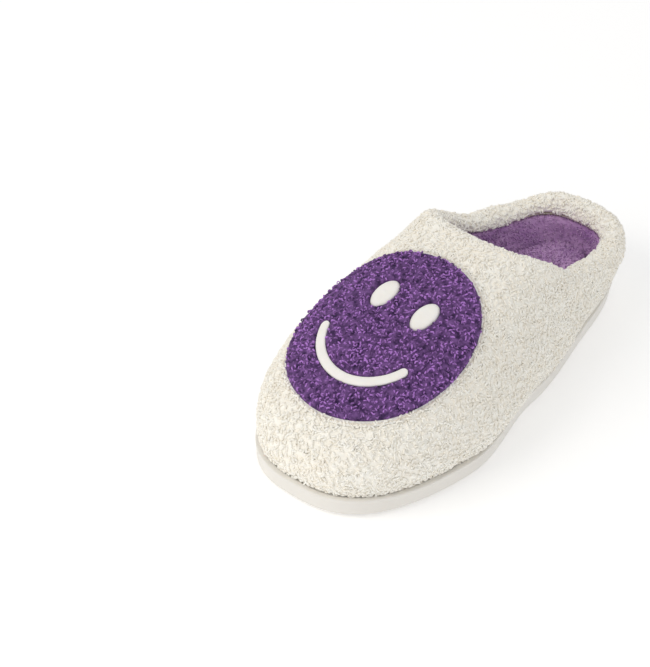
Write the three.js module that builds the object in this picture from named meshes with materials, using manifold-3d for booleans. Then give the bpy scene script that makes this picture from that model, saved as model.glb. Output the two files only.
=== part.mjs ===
// A padded fleece house slipper, left foot: moulded sole, stitched upper with a low heel collar,
// and plush footbed.
// Millimetres. +Z is up, the toe points to -Y, +X is the outer (little toe) side.
// The origin is the centre of the bounding box on the ground.
//
// Every layer of the upper is laid out on one surface, W(phi, t). phi runs round the foot, from 0 at
// the toe through 90 degrees on the outer side to 180 at the heel. t runs from 0 at the sole's lip to
// 1 at the topline.
import * as THREE from 'three';
import { mergeVertices } from 'three/addons/utils/BufferGeometryUtils.js';
import Module from 'manifold-3d';

const wasm = await Module();
wasm.setup();

// ---- driving dimensions -------------------------------------------------------------------------

const DEG = Math.PI / 180;
const GAP = 0.3;                // clearance between neighbouring pieces

const sole = {
  halfLength: 130,
  outerHalfWidths: [60.5, 49.5, 42.5],   // ball, waist, heel
  innerHalfWidths: [55, 49.5, 43],
  ballY: -60, waistY: 5, heelY: 75,
  endSquareness: 2.52, sideSquareness: 2.68,
  toeDrift: 1,                  // how far the toe leans outwards
  lipHeight: 11.8, lipWidth: 2.5, lipBead: 0.7, beadHeight: 2,
  trayFloor: 7.8, edgeRadius: 4, toeLift: 4,
  grooveWidth: 3, grooveDepth: 1.5, groovePitch: 14, grooveMargin: 12, grooveBow: 7,
};

const topline = {
  frontY: 5, backInset: 0.9,
  throatHeight: 79.5, sideHeight: 26, heelHeight: 34,
  frontInset: 1.9, heelInset: 4.3,
  squareness: 2.64, throatShoulder: 1.6, heelSharpness: 3.6,
  throatSharpness: 2.36,
};

const wall = {
  toeBulge: 14.5, heelBulge: 5,          // how far the wall swells out above the lip
  rise: 0.52, lean: 0.44, drop: 11,      // handles of the side curve
  outer: [0, 3.4], foam: [3.7, 8.3], lining: [8.6, 12],
  counter: [7.5, 8.2], thinFoam: 7.2,
  hemGap: 0.6, hemZ: 9.6, liningTop: -2.6, toplineThread: 0.7,
};
const rollDepth = wall.lining[1] / 2;    // the padded edge is a half circle about this depth

const seam = { y: 52, fabricGap: 1.6, layerGap: 0.5, thread: 0.9, depth: 1.7 };

const bed = { inset: 15.7, skin: 3, foamBottom: 9.6, top: 18.5 };
const sock = { inset: 4.4, bottom: 8.1, thickness: 1.2, thread: 0.9 };

const motif = {
  phi: 0.1, t: 0.638,            // its centre on the vamp
  radius: 45, backingMargin: 2.2, bendX: 60, bendY: 150,
  stretchY: 1.17,               // how much longer than wide it is sewn on
  backing: [0.8, 1.5], pile: [2.1, 4.5], inlay: [2.2, 4.4], rings: [8, 16, 24, 31, 38.5],
  eye: { x: 12.5, y: 14.5, halfWidth: 5.6, halfHeight: 8.2 },
  mouth: { y: -1, radius: 27, halfAngle: 66, width: 4.6 },
  thread: 0.6, turn: -3,
};

// ---- the sole's outline, the topline and the surface between them -------------------------------

const powered = (value, power) => Math.sign(value) * Math.abs(value) ** power;
const smooth = (value) => {
  const v = Math.min(Math.max(value, 0), 1);
  return v * v * (3 - 2 * v);
};

function halfWidth(y, phi) {
  const [ball, waist, heel] = Math.sin(phi) >= 0 ? sole.outerHalfWidths : sole.innerHalfWidths;
  const toWaist = smooth((y - sole.ballY) / (sole.waistY - sole.ballY));
  const toHeel = smooth((y - sole.waistY) / (sole.heelY - sole.waistY));
  return ball + (waist - ball) * toWaist + (heel - waist) * toHeel;
}

function outlinePoint(phi) {
  const y = -sole.halfLength * powered(Math.cos(phi), 2 / sole.endSquareness);
  const x = halfWidth(y, phi) * powered(Math.sin(phi), 2 / sole.sideSquareness);
  const drift = sole.toeDrift * Math.max(-y / sole.halfLength, 0) ** 2;
  return new THREE.Vector2(x + drift, y);
}

function outlineNormal(phi) {
  const step = 0.01;
  const along = outlinePoint(phi + step).sub(outlinePoint(phi - step));
  return new THREE.Vector2(along.y, -along.x).normalize();
}

const outline = (phi, offset) => outlinePoint(phi).addScaledVector(outlineNormal(phi), offset);

function toplinePoint(phi) {
  const backY = sole.halfLength - topline.backInset;
  const power = 2 / topline.squareness;
  const y = (topline.frontY + backY) / 2 - (backY - topline.frontY) / 2 * powered(Math.cos(phi), power);
  const inset = topline.frontInset + (topline.heelInset - topline.frontInset) * smooth((y - 20) / 80);
  const x = (halfWidth(y, phi) - inset) * powered(Math.sin(phi), power);
  const front = ((1 + Math.cos(phi)) / 2) ** topline.throatSharpness;
  const arch = 1 - (1 - front) ** topline.throatShoulder;
  const back = ((1 - Math.cos(phi)) / 2) ** topline.heelSharpness;
  const z = topline.sideHeight + (topline.throatHeight - topline.sideHeight) * arch
    + (topline.heelHeight - topline.sideHeight) * back;
  return new THREE.Vector3(x, y, z);
}

// W(phi, t): one cubic Bezier curve from the lip to the topline at each phi.
function surfacePoint(phi, t) {
  const foot = outline(phi, -sole.lipWidth - wall.hemGap);
  const start = new THREE.Vector3(foot.x, foot.y, sole.lipHeight);
  const end = toplinePoint(phi);
  const out = outlineNormal(phi);
  const bulge = wall.toeBulge + (wall.heelBulge - wall.toeBulge) * smooth((foot.y + 20) / 90);
  const first = new THREE.Vector3(out.x * bulge, out.y * bulge, wall.rise * (end.z - start.z)).add(start);
  const second = new THREE.Vector3(start.x - end.x, start.y - end.y, 0).multiplyScalar(wall.lean);
  second.z = -wall.drop;
  second.add(end);
  const s = 1 - t;
  return new THREE.Vector3()
    .addScaledVector(start, s ** 3).addScaledVector(first, 3 * s * s * t)
    .addScaledVector(second, 3 * s * t * t).addScaledVector(end, t ** 3);
}

function surfaceFrame(phi, t) {
  const step = 0.01;
  const round = surfacePoint(phi + step, t).sub(surfacePoint(phi - step, t));
  const up = surfacePoint(phi, t + step).sub(surfacePoint(phi, t - step)).normalize();
  const normal = round.cross(up).normalize();
  const flat = outlineNormal(phi);
  const level = new THREE.Vector3(flat.x, flat.y, 0);
  const outward = level.lerp(normal, smooth(t / 0.15)).normalize();
  return { up, outward };
}

// A point of a layer: at t, pushed in by depth, then raised. Below the lip it is raised straight up.
function layerPoint(phi, { t, rise = 0, depth }) {
  const { up, outward } = surfaceFrame(phi, t);
  const direction = t > 0 ? up : new THREE.Vector3(0, 0, 1);
  return surfacePoint(phi, t).addScaledVector(outward, -depth).addScaledVector(direction, rise);
}

// ---- mesh helpers -------------------------------------------------------------------------------

function solidFrom(positions, indices) {
  const geometry = new THREE.BufferGeometry();
  const numbers = positions.flatMap((point) => point.toArray());
  geometry.setAttribute('position', new THREE.Float32BufferAttribute(numbers, 3));
  geometry.setIndex(indices);
  return geometry;
}

const plain = (geometry) => {
  geometry.deleteAttribute('normal');
  geometry.deleteAttribute('uv');
  return mergeVertices(geometry, 1e-3);
};

// Skins a run of equal rings and closes both ends. Each ring is a closed section, and flatten turns
// its points into the plane in which the end caps are triangulated. Every quad is split along its shorter
// diagonal, so that the facing sides of two nested layers are split alike.
function loft(rings, flatten) {
  const size = rings[0].length;
  const indices = [];
  for (let k = 0; k + 1 < rings.length; k++) {
    const here = k * size;
    const next = here + size;
    for (let i = 0; i < size; i++) {
      const j = (i + 1) % size;
      const [a, b, c, d] = [here + i, here + j, next + j, next + i];
      const points = rings.slice(k, k + 2).flat();
      const straight = points[i].distanceTo(points[size + j]) <= points[j].distanceTo(points[size + i]);
      indices.push(...(straight ? [a, b, c, a, c, d] : [a, b, d, b, c, d]));
    }
  }
  const lastStart = (rings.length - 1) * size;
  for (const face of capFaces(rings[0].map(flatten))) {
    indices.push(...face.reverse());
  }
  for (const face of capFaces(rings.at(-1).map(flatten))) {
    indices.push(...face.map((i) => lastStart + i));
  }
  return solidFrom(rings.flat(), indices);
}

// Triangles that fill a section, wound the same way as the section's own points.
function capFaces(section) {
  const along = Math.sign(THREE.ShapeUtils.area(section));
  return THREE.ShapeUtils.triangulateShape(section, []).map((face) => {
    const same = Math.sign(THREE.ShapeUtils.area(face.map((i) => section[i]))) === along;
    return same ? face : face.reverse();
  });
}

function volume(geometry) {
  const position = geometry.getAttribute('position');
  const index = geometry.getIndex();
  const corner = (i) => new THREE.Vector3().fromBufferAttribute(position, index.getX(i));
  let total = 0;
  for (let i = 0; i < index.count; i += 3) {
    total += corner(i).dot(corner(i + 1).cross(corner(i + 2))) / 6;
  }
  return total;
}

// Turns every face round when the mesh came out inside out.
function facingOut(geometry) {
  if (volume(geometry) < 0) {
    const index = geometry.getIndex();
    for (let i = 0; i < index.count; i += 3) {
      const kept = index.getX(i);
      index.setX(i, index.getX(i + 1));
      index.setX(i + 1, kept);
    }
  }
  return geometry;
}

function toManifold(geometry) {
  const merged = facingOut(plain(geometry));
  const vertProperties = new Float32Array(merged.getAttribute('position').array);
  const triVerts = new Uint32Array(merged.getIndex().array);
  return new wasm.Manifold(new wasm.Mesh({ numProp: 3, vertProperties, triVerts }));
}

function fromManifold(solid) {
  const mesh = solid.getMesh();
  const geometry = new THREE.BufferGeometry();
  geometry.setAttribute('position', new THREE.Float32BufferAttribute(mesh.vertProperties, 3));
  geometry.setIndex([...mesh.triVerts]);
  return geometry;
}

// A round thread along a list of points.
function thread(points, diameter, steps) {
  const section = new THREE.Shape().absarc(0, 0, diameter / 2, 0, 2 * Math.PI);
  const path = new THREE.CatmullRomCurve3(points);
  const settings = { extrudePath: path, steps, curveSegments: 3, bevelEnabled: false };
  return facingOut(plain(new THREE.ExtrudeGeometry(section, settings)));
}

const spread = (from, to, count) =>
  Array.from({ length: count + 1 }, (_, k) => from + (to - from) * k / count);

// ---- sole ---------------------------------------------------------------------------------------

const ROUND = spread(0, 2 * Math.PI, 56).slice(0, -1);

function outlineRing(offset, z) {
  return ROUND.map((phi) => {
    const point = outline(phi, offset);
    return new THREE.Vector3(point.x, point.y, z);
  });
}

function cappedRings(rings) {
  return loft(rings, (p) => new THREE.Vector2(p.x, p.y));
}

// The ground edge is rounded, and cut back further under the toe.
function groundRing(share, height) {
  return ROUND.map((phi) => {
    const toe = smooth((Math.cos(phi) - 0.2) / 0.8);
    const point = outline(phi, -share * (sole.edgeRadius + sole.toeLift * toe));
    return new THREE.Vector3(point.x, point.y, height);
  });
}

function groove(y) {
  const reach = 80;
  const half = sole.grooveWidth / 2;
  const bow = (x) => y - sole.grooveBow * (x / 50) ** 2;
  const stations = spread(-reach, reach, 12);
  const near = stations.map((x) => new THREE.Vector2(x, bow(x) - half));
  const far = stations.map((x) => new THREE.Vector2(x, bow(x) + half)).reverse();
  const settings = { depth: sole.grooveDepth + 2, bevelEnabled: false };
  return new THREE.ExtrudeGeometry(new THREE.Shape([...near, ...far]), settings).translate(0, 0, -2);
}

function outsole() {
  const { lipHeight, lipWidth, lipBead, beadHeight, trayFloor } = sole;
  const rings = [
    groundRing(1, 0), groundRing(0.3, 1), outlineRing(0, 3.2),
    outlineRing(0, lipHeight - beadHeight), outlineRing(lipBead, lipHeight - beadHeight + 0.5),
    outlineRing(lipBead, lipHeight - 0.4), outlineRing(lipBead - 0.5, lipHeight),
    outlineRing(-lipWidth, lipHeight), outlineRing(-lipWidth, trayFloor),
  ];
  let body = toManifold(cappedRings(rings));
  const inner = [-1, 3].map((z) => outlineRing(-sole.grooveMargin, z));
  const margin = toManifold(cappedRings(inner));
  const reach = sole.halfLength - sole.grooveMargin - sole.grooveWidth;
  for (let y = sole.groovePitch / 2; y < reach; y += sole.groovePitch) {
    for (const side of [-1, 1]) {
      body = body.subtract(toManifold(groove(side * y)).intersect(margin));
    }
  }
  return fromManifold(body);
}

const flatSlab = (offset, bottom, top) => cappedRings(
  [bottom, top].map((z) => outlineRing(offset, z)),
);

const strobelSock = () => flatSlab(-sock.inset, sock.bottom, sock.bottom + sock.thickness);

const footbedFoam = () =>
  flatSlab(-bed.inset - bed.skin - GAP, bed.foamBottom, bed.top - bed.skin - GAP);

// The plush cover is a shallow box turned upside down over the foam.
function footbedCover() {
  const { inset, skin, foamBottom, top } = bed;
  return cappedRings([
    outlineRing(-inset - skin, top - skin), outlineRing(-inset - skin, foamBottom),
    outlineRing(-inset, foamBottom), outlineRing(-inset, top - 1), outlineRing(-inset - 1, top),
  ]);
}

function strobelThread() {
  const depth = sole.lipWidth + GAP + sock.thread / 2;
  const z = sock.bottom + sock.thickness / 2;
  const start = Math.PI + 0.012;
  const points = spread(start, start + 2 * Math.PI - 0.024, 56).map((phi) => {
    const point = outline(phi, -depth);
    return new THREE.Vector3(point.x, point.y, z);
  });
  return thread(points, sock.thread, 56);
}

// ---- the upper's layers -------------------------------------------------------------------------

// The angle at which a layer's point crosses the plane of that y, on the outer side (1) or the inner (-1).
function seamAngle(point, y, side) {
  let low = 60 * DEG;
  let high = 130 * DEG;
  for (let k = 0; k < 30; k++) {
    const middle = (low + high) / 2;
    if (layerPoint(side * middle, point).y < y) low = middle;
    else high = middle;
  }
  return side * low;
}

const TOE_STEPS = 32;
const HEEL_STEPS = 20;
const VAMP_LEVELS = [0, 0.1, 0.24, 0.42, 0.6, 0.78, 0.92, 1];
const HEEL_LEVELS = [0, 0.2, 0.45, 0.72, 0.86, 1];
const COUNTER_LEVELS = HEEL_LEVELS.slice(0, 4);

// Sweeps a section round the toe or round the heel, from seam to seam, with half of gap left at each seam.
// All layers share the rings between the seams, so their facets stay parallel. A piece that stops short
// of the seams leaves out some rings at each end.
function panel(section, { heel, gap, leftOut = 0 }) {
  const steps = heel ? HEEL_STEPS : TOE_STEPS;
  const away = (heel ? 1 : -1) * gap / 2;
  const span = (point, y) => {
    const outerEdge = seamAngle(point, y, 1);
    const innerEdge = seamAngle(point, y, -1);
    return heel ? [outerEdge, innerEdge + 2 * Math.PI] : [innerEdge, outerEdge];
  };
  const shared = section.map((point) => span(point, seam.y));
  const trimmed = section.map((point) => span(point, seam.y + away));
  const rings = spread(0, 1, steps).map((share, k) => section.map((point, i) => {
    const [first, last] = k === 0 || k === steps ? trimmed[i] : shared[i];
    return layerPoint(first + (last - first) * share, point);
  }));
  const kept = rings.slice(leftOut, rings.length - leftOut);
  return facingOut(loft(kept, (p) => new THREE.Vector2(p.x, p.z)));
}

const hem = (depth) => ({ t: 0, rise: wall.hemZ - sole.lipHeight, depth });
const level = (levels, depth) => levels.map((t) => ({ t, depth }));
const arc = (radius, steps) => spread(0, Math.PI, steps).slice(1, -1).map((angle) =>
  ({ t: 1, rise: radius * Math.sin(angle), depth: rollDepth - radius * Math.cos(angle) }));

// Outer fabric: up the outside, over the roll, and a short way down inside.
function outerSection(levels) {
  const [near, far] = wall.outer;
  const [inFar, inNear] = [wall.lining[0], wall.lining[1]];
  return [
    hem(near), ...level(levels, near), ...arc(rollDepth - near, 6), { t: 1, depth: inNear },
    { t: 1, depth: inFar }, ...arc(rollDepth - far, 4).reverse(), ...level(levels, far).reverse(), hem(far),
  ];
}

function foamSection(levels, inner) {
  const [near] = wall.foam;
  const down = [...levels].reverse().map((t) => ({ t, depth: inner(t) }));
  return [hem(near), ...level(levels, near), ...arc(rollDepth - near, 4), ...down, hem(inner(0))];
}

function liningSection(levels) {
  const [near, far] = wall.lining;
  const below = levels.slice(0, -1);
  const top = (depth) => ({ t: 1, rise: wall.liningTop, depth });
  return [hem(near), ...level(below, near), top(near), top(far), ...level(below, far).reverse(), hem(far)];
}

const vampOuter = () => panel(outerSection(VAMP_LEVELS), { heel: false, gap: seam.fabricGap });
const heelOuter = () => panel(outerSection(HEEL_LEVELS), { heel: true, gap: seam.fabricGap });
const vampLining = () => panel(liningSection(VAMP_LEVELS), { heel: false, gap: seam.layerGap });
const heelLining = () => panel(liningSection(HEEL_LEVELS), { heel: true, gap: seam.layerGap });
const vampFoam = () => panel(
  foamSection(VAMP_LEVELS, () => wall.foam[1]),
  { heel: false, gap: seam.layerGap },
);

// The heel foam is thinner low down, where the counter stands between it and the lining.
function heelFoam() {
  const inner = (t) => (t > COUNTER_LEVELS.at(-1) ? wall.foam[1] : wall.thinFoam);
  return panel(foamSection(HEEL_LEVELS, inner), { heel: true, gap: seam.layerGap });
}

function heelCounter() {
  const [near, far] = wall.counter;
  const section = [
    hem(near), ...level(COUNTER_LEVELS, near), ...level(COUNTER_LEVELS, far).reverse(), hem(far),
  ];
  return panel(section, { heel: true, gap: seam.layerGap, leftOut: 1 });
}

// ---- seam threads -------------------------------------------------------------------------------

function sideSeamThread(side) {
  const points = spread(0.04, 0.97, 12).map((t) => {
    const place = { t, depth: seam.depth };
    return layerPoint(seamAngle(place, seam.y, side), place);
  });
  return thread(points, seam.thread, 16);
}

function toplineThread() {
  const start = Math.PI + 0.02;
  const place = { t: 1, rise: wall.liningTop / 2, depth: (wall.lining[0] + wall.lining[1]) / 2 };
  const points = spread(start, start + 2 * Math.PI - 0.04, 72).map((phi) => layerPoint(phi, place));
  return thread(points, wall.toplineThread, 72);
}

// ---- motif: a plain round happy face of pile, inlaid with white, on a felt backing --------------

const centre = surfacePoint(motif.phi * DEG, motif.t);
const facing = surfaceFrame(motif.phi * DEG, motif.t).outward;
const across = new THREE.Vector3(1, 0, 0).addScaledVector(facing, -facing.x).normalize();
const upward = facing.clone().cross(across);

// Finds the point of the vamp that lies at (u, v) on the flat patch once it is bent over the toe,
// by Newton steps on phi and t, and lifts it off the fabric.
function onVamp(u, v, lift) {
  const c = Math.cos(motif.turn * DEG);
  const s = Math.sin(motif.turn * DEG);
  const wantX = motif.bendX * Math.sin((u * c - v * s) / motif.bendX);
  const wantY = motif.bendY * Math.sin((u * s + v * c) * motif.stretchY / motif.bendY);
  const seen = (phi, t) => {
    const from = surfacePoint(phi, t).sub(centre);
    return [from.dot(across) - wantX, from.dot(upward) - wantY];
  };
  let phi = motif.phi * DEG;
  let t = motif.t;
  const step = 1e-3;
  for (let k = 0; k < 12; k++) {
    const [a, b] = seen(phi, t);
    const [aPhi, bPhi] = seen(phi + step, t).map((value, i) => (value - [a, b][i]) / step);
    const [aT, bT] = seen(phi, t + step).map((value, i) => (value - [a, b][i]) / step);
    const det = aPhi * bT - aT * bPhi;
    phi -= (a * bT - b * aT) / det;
    t -= (b * aPhi - a * bPhi) / det;
  }
  return surfacePoint(phi, t).addScaledVector(surfaceFrame(phi, t).outward, lift);
}

// Wraps a flat solid, whose z is its height above the fabric, over the vamp.
function wrapped(geometry) {
  const flat = plain(geometry);
  const position = flat.getAttribute('position');
  for (let i = 0; i < position.count; i++) {
    const at = onVamp(position.getX(i), position.getY(i), position.getZ(i));
    position.setXYZ(i, at.x, at.y, at.z);
  }
  return flat;
}

// A flat round pad in rings, so that it can bend.
function disc(radii, [bottom, top]) {
  const profile = [
    new THREE.Vector2(0, bottom), ...radii.map((r) => new THREE.Vector2(r, bottom)),
    ...radii.map((r) => new THREE.Vector2(r, top)).reverse(), new THREE.Vector2(0, top),
  ];
  return new THREE.LatheGeometry(profile, radii.length > 2 ? 40 : 20).rotateX(Math.PI / 2);
}

function eye(side, grow, heights) {
  const { x, y, halfWidth: rx, halfHeight: ry } = motif.eye;
  return disc([0.5, 1], heights).scale(rx + grow, ry + grow, 1).translate(side * x, y, 0);
}

// An even band with round ends, following part of a circle: stations along it, each with its half
// width.
function mouth(grow, [bottom, top]) {
  const { y, radius, halfAngle, width } = motif.mouth;
  const half = width / 2 + grow;
  const reach = halfAngle * DEG * radius;
  const roundEnd = [0.97, 0.75, 0.4].map(
    (share) => [reach + half * share, half * Math.sqrt(1 - share * share)],
  );
  const straight = spread(-reach, reach, 16).map((s) => [s, half]);
  const stations = [...roundEnd.map(([s, h]) => [-s, h]), ...straight, ...roundEnd.reverse()];
  const rings = stations.map(([s, h]) => {
    const angle = -Math.PI / 2 + s / radius;
    const corner = (r, z) => new THREE.Vector3(r * Math.cos(angle), y + r * Math.sin(angle), z);
    const [low, high] = [radius - h, radius + h];
    return [corner(low, bottom), corner(high, bottom), corner(high, top), corner(low, top)];
  });
  return loft(rings, (p) => new THREE.Vector2(Math.hypot(p.x, p.y - y), p.z));
}

const motifBacking = () => {
  const rims = [motif.radius, motif.radius + motif.backingMargin];
  return wrapped(disc([...motif.rings, ...rims], motif.backing));
};

function motifPile() {
  const through = [motif.pile[0] - 1.2, motif.pile[1] + 1.2];
  let body = toManifold(wrapped(disc([...motif.rings, motif.radius], motif.pile)));
  for (const cutter of [eye(-1, GAP, through), eye(1, GAP, through), mouth(GAP, through)]) {
    body = body.subtract(toManifold(wrapped(cutter)));
  }
  return fromManifold(body);
}

function motifEdgeThread() {
  const radius = motif.radius + motif.backingMargin / 2 + 0.15;
  const lift = motif.backing[1] + GAP + motif.thread / 2;
  const points = spread(0.01, 2 * Math.PI - 0.01, 64).map((angle) =>
    onVamp(radius * Math.cos(angle), radius * Math.sin(angle), lift));
  return thread(points, motif.thread, 56);
}

// ---- finishes and assembly ----------------------------------------------------------------------

const finishes = {
  rubber: { color: 0xe9e6e1, roughness: 0.5, metalness: 0 },
  fleece: { color: 0xefe7d6, roughness: 1, metalness: 0 },
  plush: { color: 0x8a4fb0, roughness: 1, metalness: 0 },
  chenille: { color: 0xa57fb4, roughness: 1, metalness: 0 },
  felt: { color: 0xf7f3ea, roughness: 1, metalness: 0 },
  foam: { color: 0xf3efe2, roughness: 0.9, metalness: 0 },
  board: { color: 0xd8d2c4, roughness: 0.9, metalness: 0 },
  thread: { color: 0xf2ead9, roughness: 0.8, metalness: 0 },
};

const pieces = [
  ['outsole', 'rubber', outsole],
  ['strobel_sock', 'board', strobelSock],
  ['strobel_thread', 'thread', strobelThread],
  ['footbed_foam', 'foam', footbedFoam],
  ['footbed_cover', 'plush', footbedCover],
  ['vamp_outer', 'fleece', vampOuter],
  ['vamp_foam', 'foam', vampFoam],
  ['vamp_lining', 'plush', vampLining],
  ['heel_outer', 'fleece', heelOuter],
  ['heel_foam', 'foam', heelFoam],
  ['heel_counter', 'board', heelCounter],
  ['heel_lining', 'plush', heelLining],
  ['side_seam_thread_outer', 'thread', () => sideSeamThread(1)],
  ['side_seam_thread_inner', 'thread', () => sideSeamThread(-1)],
  ['topline_thread', 'thread', toplineThread],
  ['motif_backing', 'felt', motifBacking],
  ['motif_pile', 'chenille', motifPile],
  ['motif_eye_left', 'felt', () => wrapped(eye(1, 0, motif.inlay))],
  ['motif_eye_right', 'felt', () => wrapped(eye(-1, 0, motif.inlay))],
  ['motif_mouth', 'felt', () => wrapped(mouth(0, motif.inlay))],
  ['motif_edge_thread', 'thread', motifEdgeThread],
];

const slipper = new THREE.Group();
for (const [name, finish, build] of pieces) {
  const material = new THREE.MeshStandardMaterial(finishes[finish]);
  const mesh = new THREE.Mesh(facingOut(plain(build())), material);
  mesh.name = name;
  slipper.add(mesh);
}

const box = new THREE.Box3().setFromObject(slipper);
slipper.position.set(-(box.min.x + box.max.x) / 2, -(box.min.y + box.max.y) / 2, -box.min.z);

export default slipper;
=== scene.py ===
"""A padded fleece house slipper for the left foot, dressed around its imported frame.

The frame is in metres, +Z up, toe towards -Y, outer side towards +X. The shapes below are worked out
in millimetres on one surface, W(phi, t), that runs round the foot: phi is 0 at the toe, a quarter turn
on the outer side and a half turn at the heel, and t is 0 at the sole's lip and 1 at the topline.
"""
import logging
import math
from dataclasses import dataclass, field
from enum import Enum
from typing import Callable, Optional, Sequence

import bpy
import numpy as np
from mathutils import Matrix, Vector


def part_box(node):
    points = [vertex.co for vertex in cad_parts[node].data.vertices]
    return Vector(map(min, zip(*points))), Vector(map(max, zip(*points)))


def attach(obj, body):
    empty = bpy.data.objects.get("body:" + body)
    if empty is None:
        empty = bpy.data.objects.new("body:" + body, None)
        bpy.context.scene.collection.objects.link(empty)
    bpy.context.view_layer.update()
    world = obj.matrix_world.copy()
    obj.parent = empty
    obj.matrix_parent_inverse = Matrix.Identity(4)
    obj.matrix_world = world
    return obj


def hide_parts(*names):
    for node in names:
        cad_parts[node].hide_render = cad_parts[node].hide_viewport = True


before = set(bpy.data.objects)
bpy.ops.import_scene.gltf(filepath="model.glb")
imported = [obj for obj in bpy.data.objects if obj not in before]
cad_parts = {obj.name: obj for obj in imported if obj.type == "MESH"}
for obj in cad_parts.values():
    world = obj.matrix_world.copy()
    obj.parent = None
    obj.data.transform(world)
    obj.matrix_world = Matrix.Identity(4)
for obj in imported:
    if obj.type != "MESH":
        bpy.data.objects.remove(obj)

Array = np.ndarray

MM = 0.001
BODY = "root"
SEED = 20
log = logging.getLogger("slipper")


# ---- numbers -------------------------------------------------------------------------------------


def smooth(value: Array) -> Array:
    """A step from 0 to 1 that starts and ends level: v * v * (3 - 2 v)."""
    v = np.clip(value, 0.0, 1.0)
    return v * v * (3.0 - 2.0 * v)


def powered(value: Array, power: float) -> Array:
    """The value's size raised to a power, with its sign kept."""
    return np.sign(value) * np.abs(value) ** power


def unit(vectors: Array) -> Array:
    """The vectors scaled to length 1."""
    return vectors / np.maximum(np.linalg.norm(vectors, axis=-1, keepdims=True), 1e-9)


def dot(a: Array, b: Array) -> Array:
    """The dot products of two arrays of vectors."""
    return np.sum(a * b, axis=-1)


def lattice(cells: Array, seed: int) -> Array:
    """Three numbers from 0 to 1 for each whole-number cell, always the same for the same cell and seed.

    Args:
        cells: whole numbers, shape (..., 3).
        seed: chooses the pattern.

    Returns:
        Shape (..., 3), from an integer hash of the cell.
    """
    mixed = (cells[..., 0] * 73856093) ^ (cells[..., 1] * 19349663)
    mixed = mixed ^ (cells[..., 2] * 83492791) ^ (seed * 7919)
    out = []
    for k in range(3):
        h = (mixed + k * 0x9E3779B9) & 0xFFFFFFFF
        h = ((h ^ (h >> 16)) * 0x45D9F3B) & 0xFFFFFFFF
        h = ((h ^ (h >> 16)) * 0x45D9F3B) & 0xFFFFFFFF
        out.append(((h ^ (h >> 16)) & 0xFFFFFF) / float(0xFFFFFF))
    return np.stack(out, axis=-1)


def nubs(points: Array, size: float, seed: int) -> Array:
    """Round lumps, one in each cell of a jittered grid.

    Args:
        points: places in millimetres, shape (..., 3).
        size: the cell's side, about the lumps' spacing.
        seed: chooses the pattern.

    Returns:
        1 at the middle of a lump, falling with the distance to the nearest middle to about 0 between lumps.
    """
    scaled = points / size
    base = np.floor(scaled).astype(np.int64)
    nearest = np.full(points.shape[:-1], 9.0)
    for step in np.ndindex(3, 3, 3):
        cell = base + np.array(step) - 1
        gap = scaled - cell - lattice(cell, seed)
        nearest = np.minimum(nearest, dot(gap, gap))
    return 1.0 - np.sqrt(nearest)


def swell(points: Array, size: float, seed: int) -> Array:
    """Soft noise from -1 to 1: random values on a grid of that size, joined by smooth steps."""
    scaled = points / size
    base = np.floor(scaled).astype(np.int64)
    part = smooth(scaled - base)
    total = np.zeros(points.shape[:-1])
    for step in np.ndindex(2, 2, 2):
        corner = np.array(step)
        weight = np.prod(np.where(corner, part, 1.0 - part), axis=-1)
        total += weight * lattice(base + corner, seed)[..., 0]
    return 2.0 * total - 1.0


# ---- the slipper's own shape ---------------------------------------------------------------------


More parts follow.
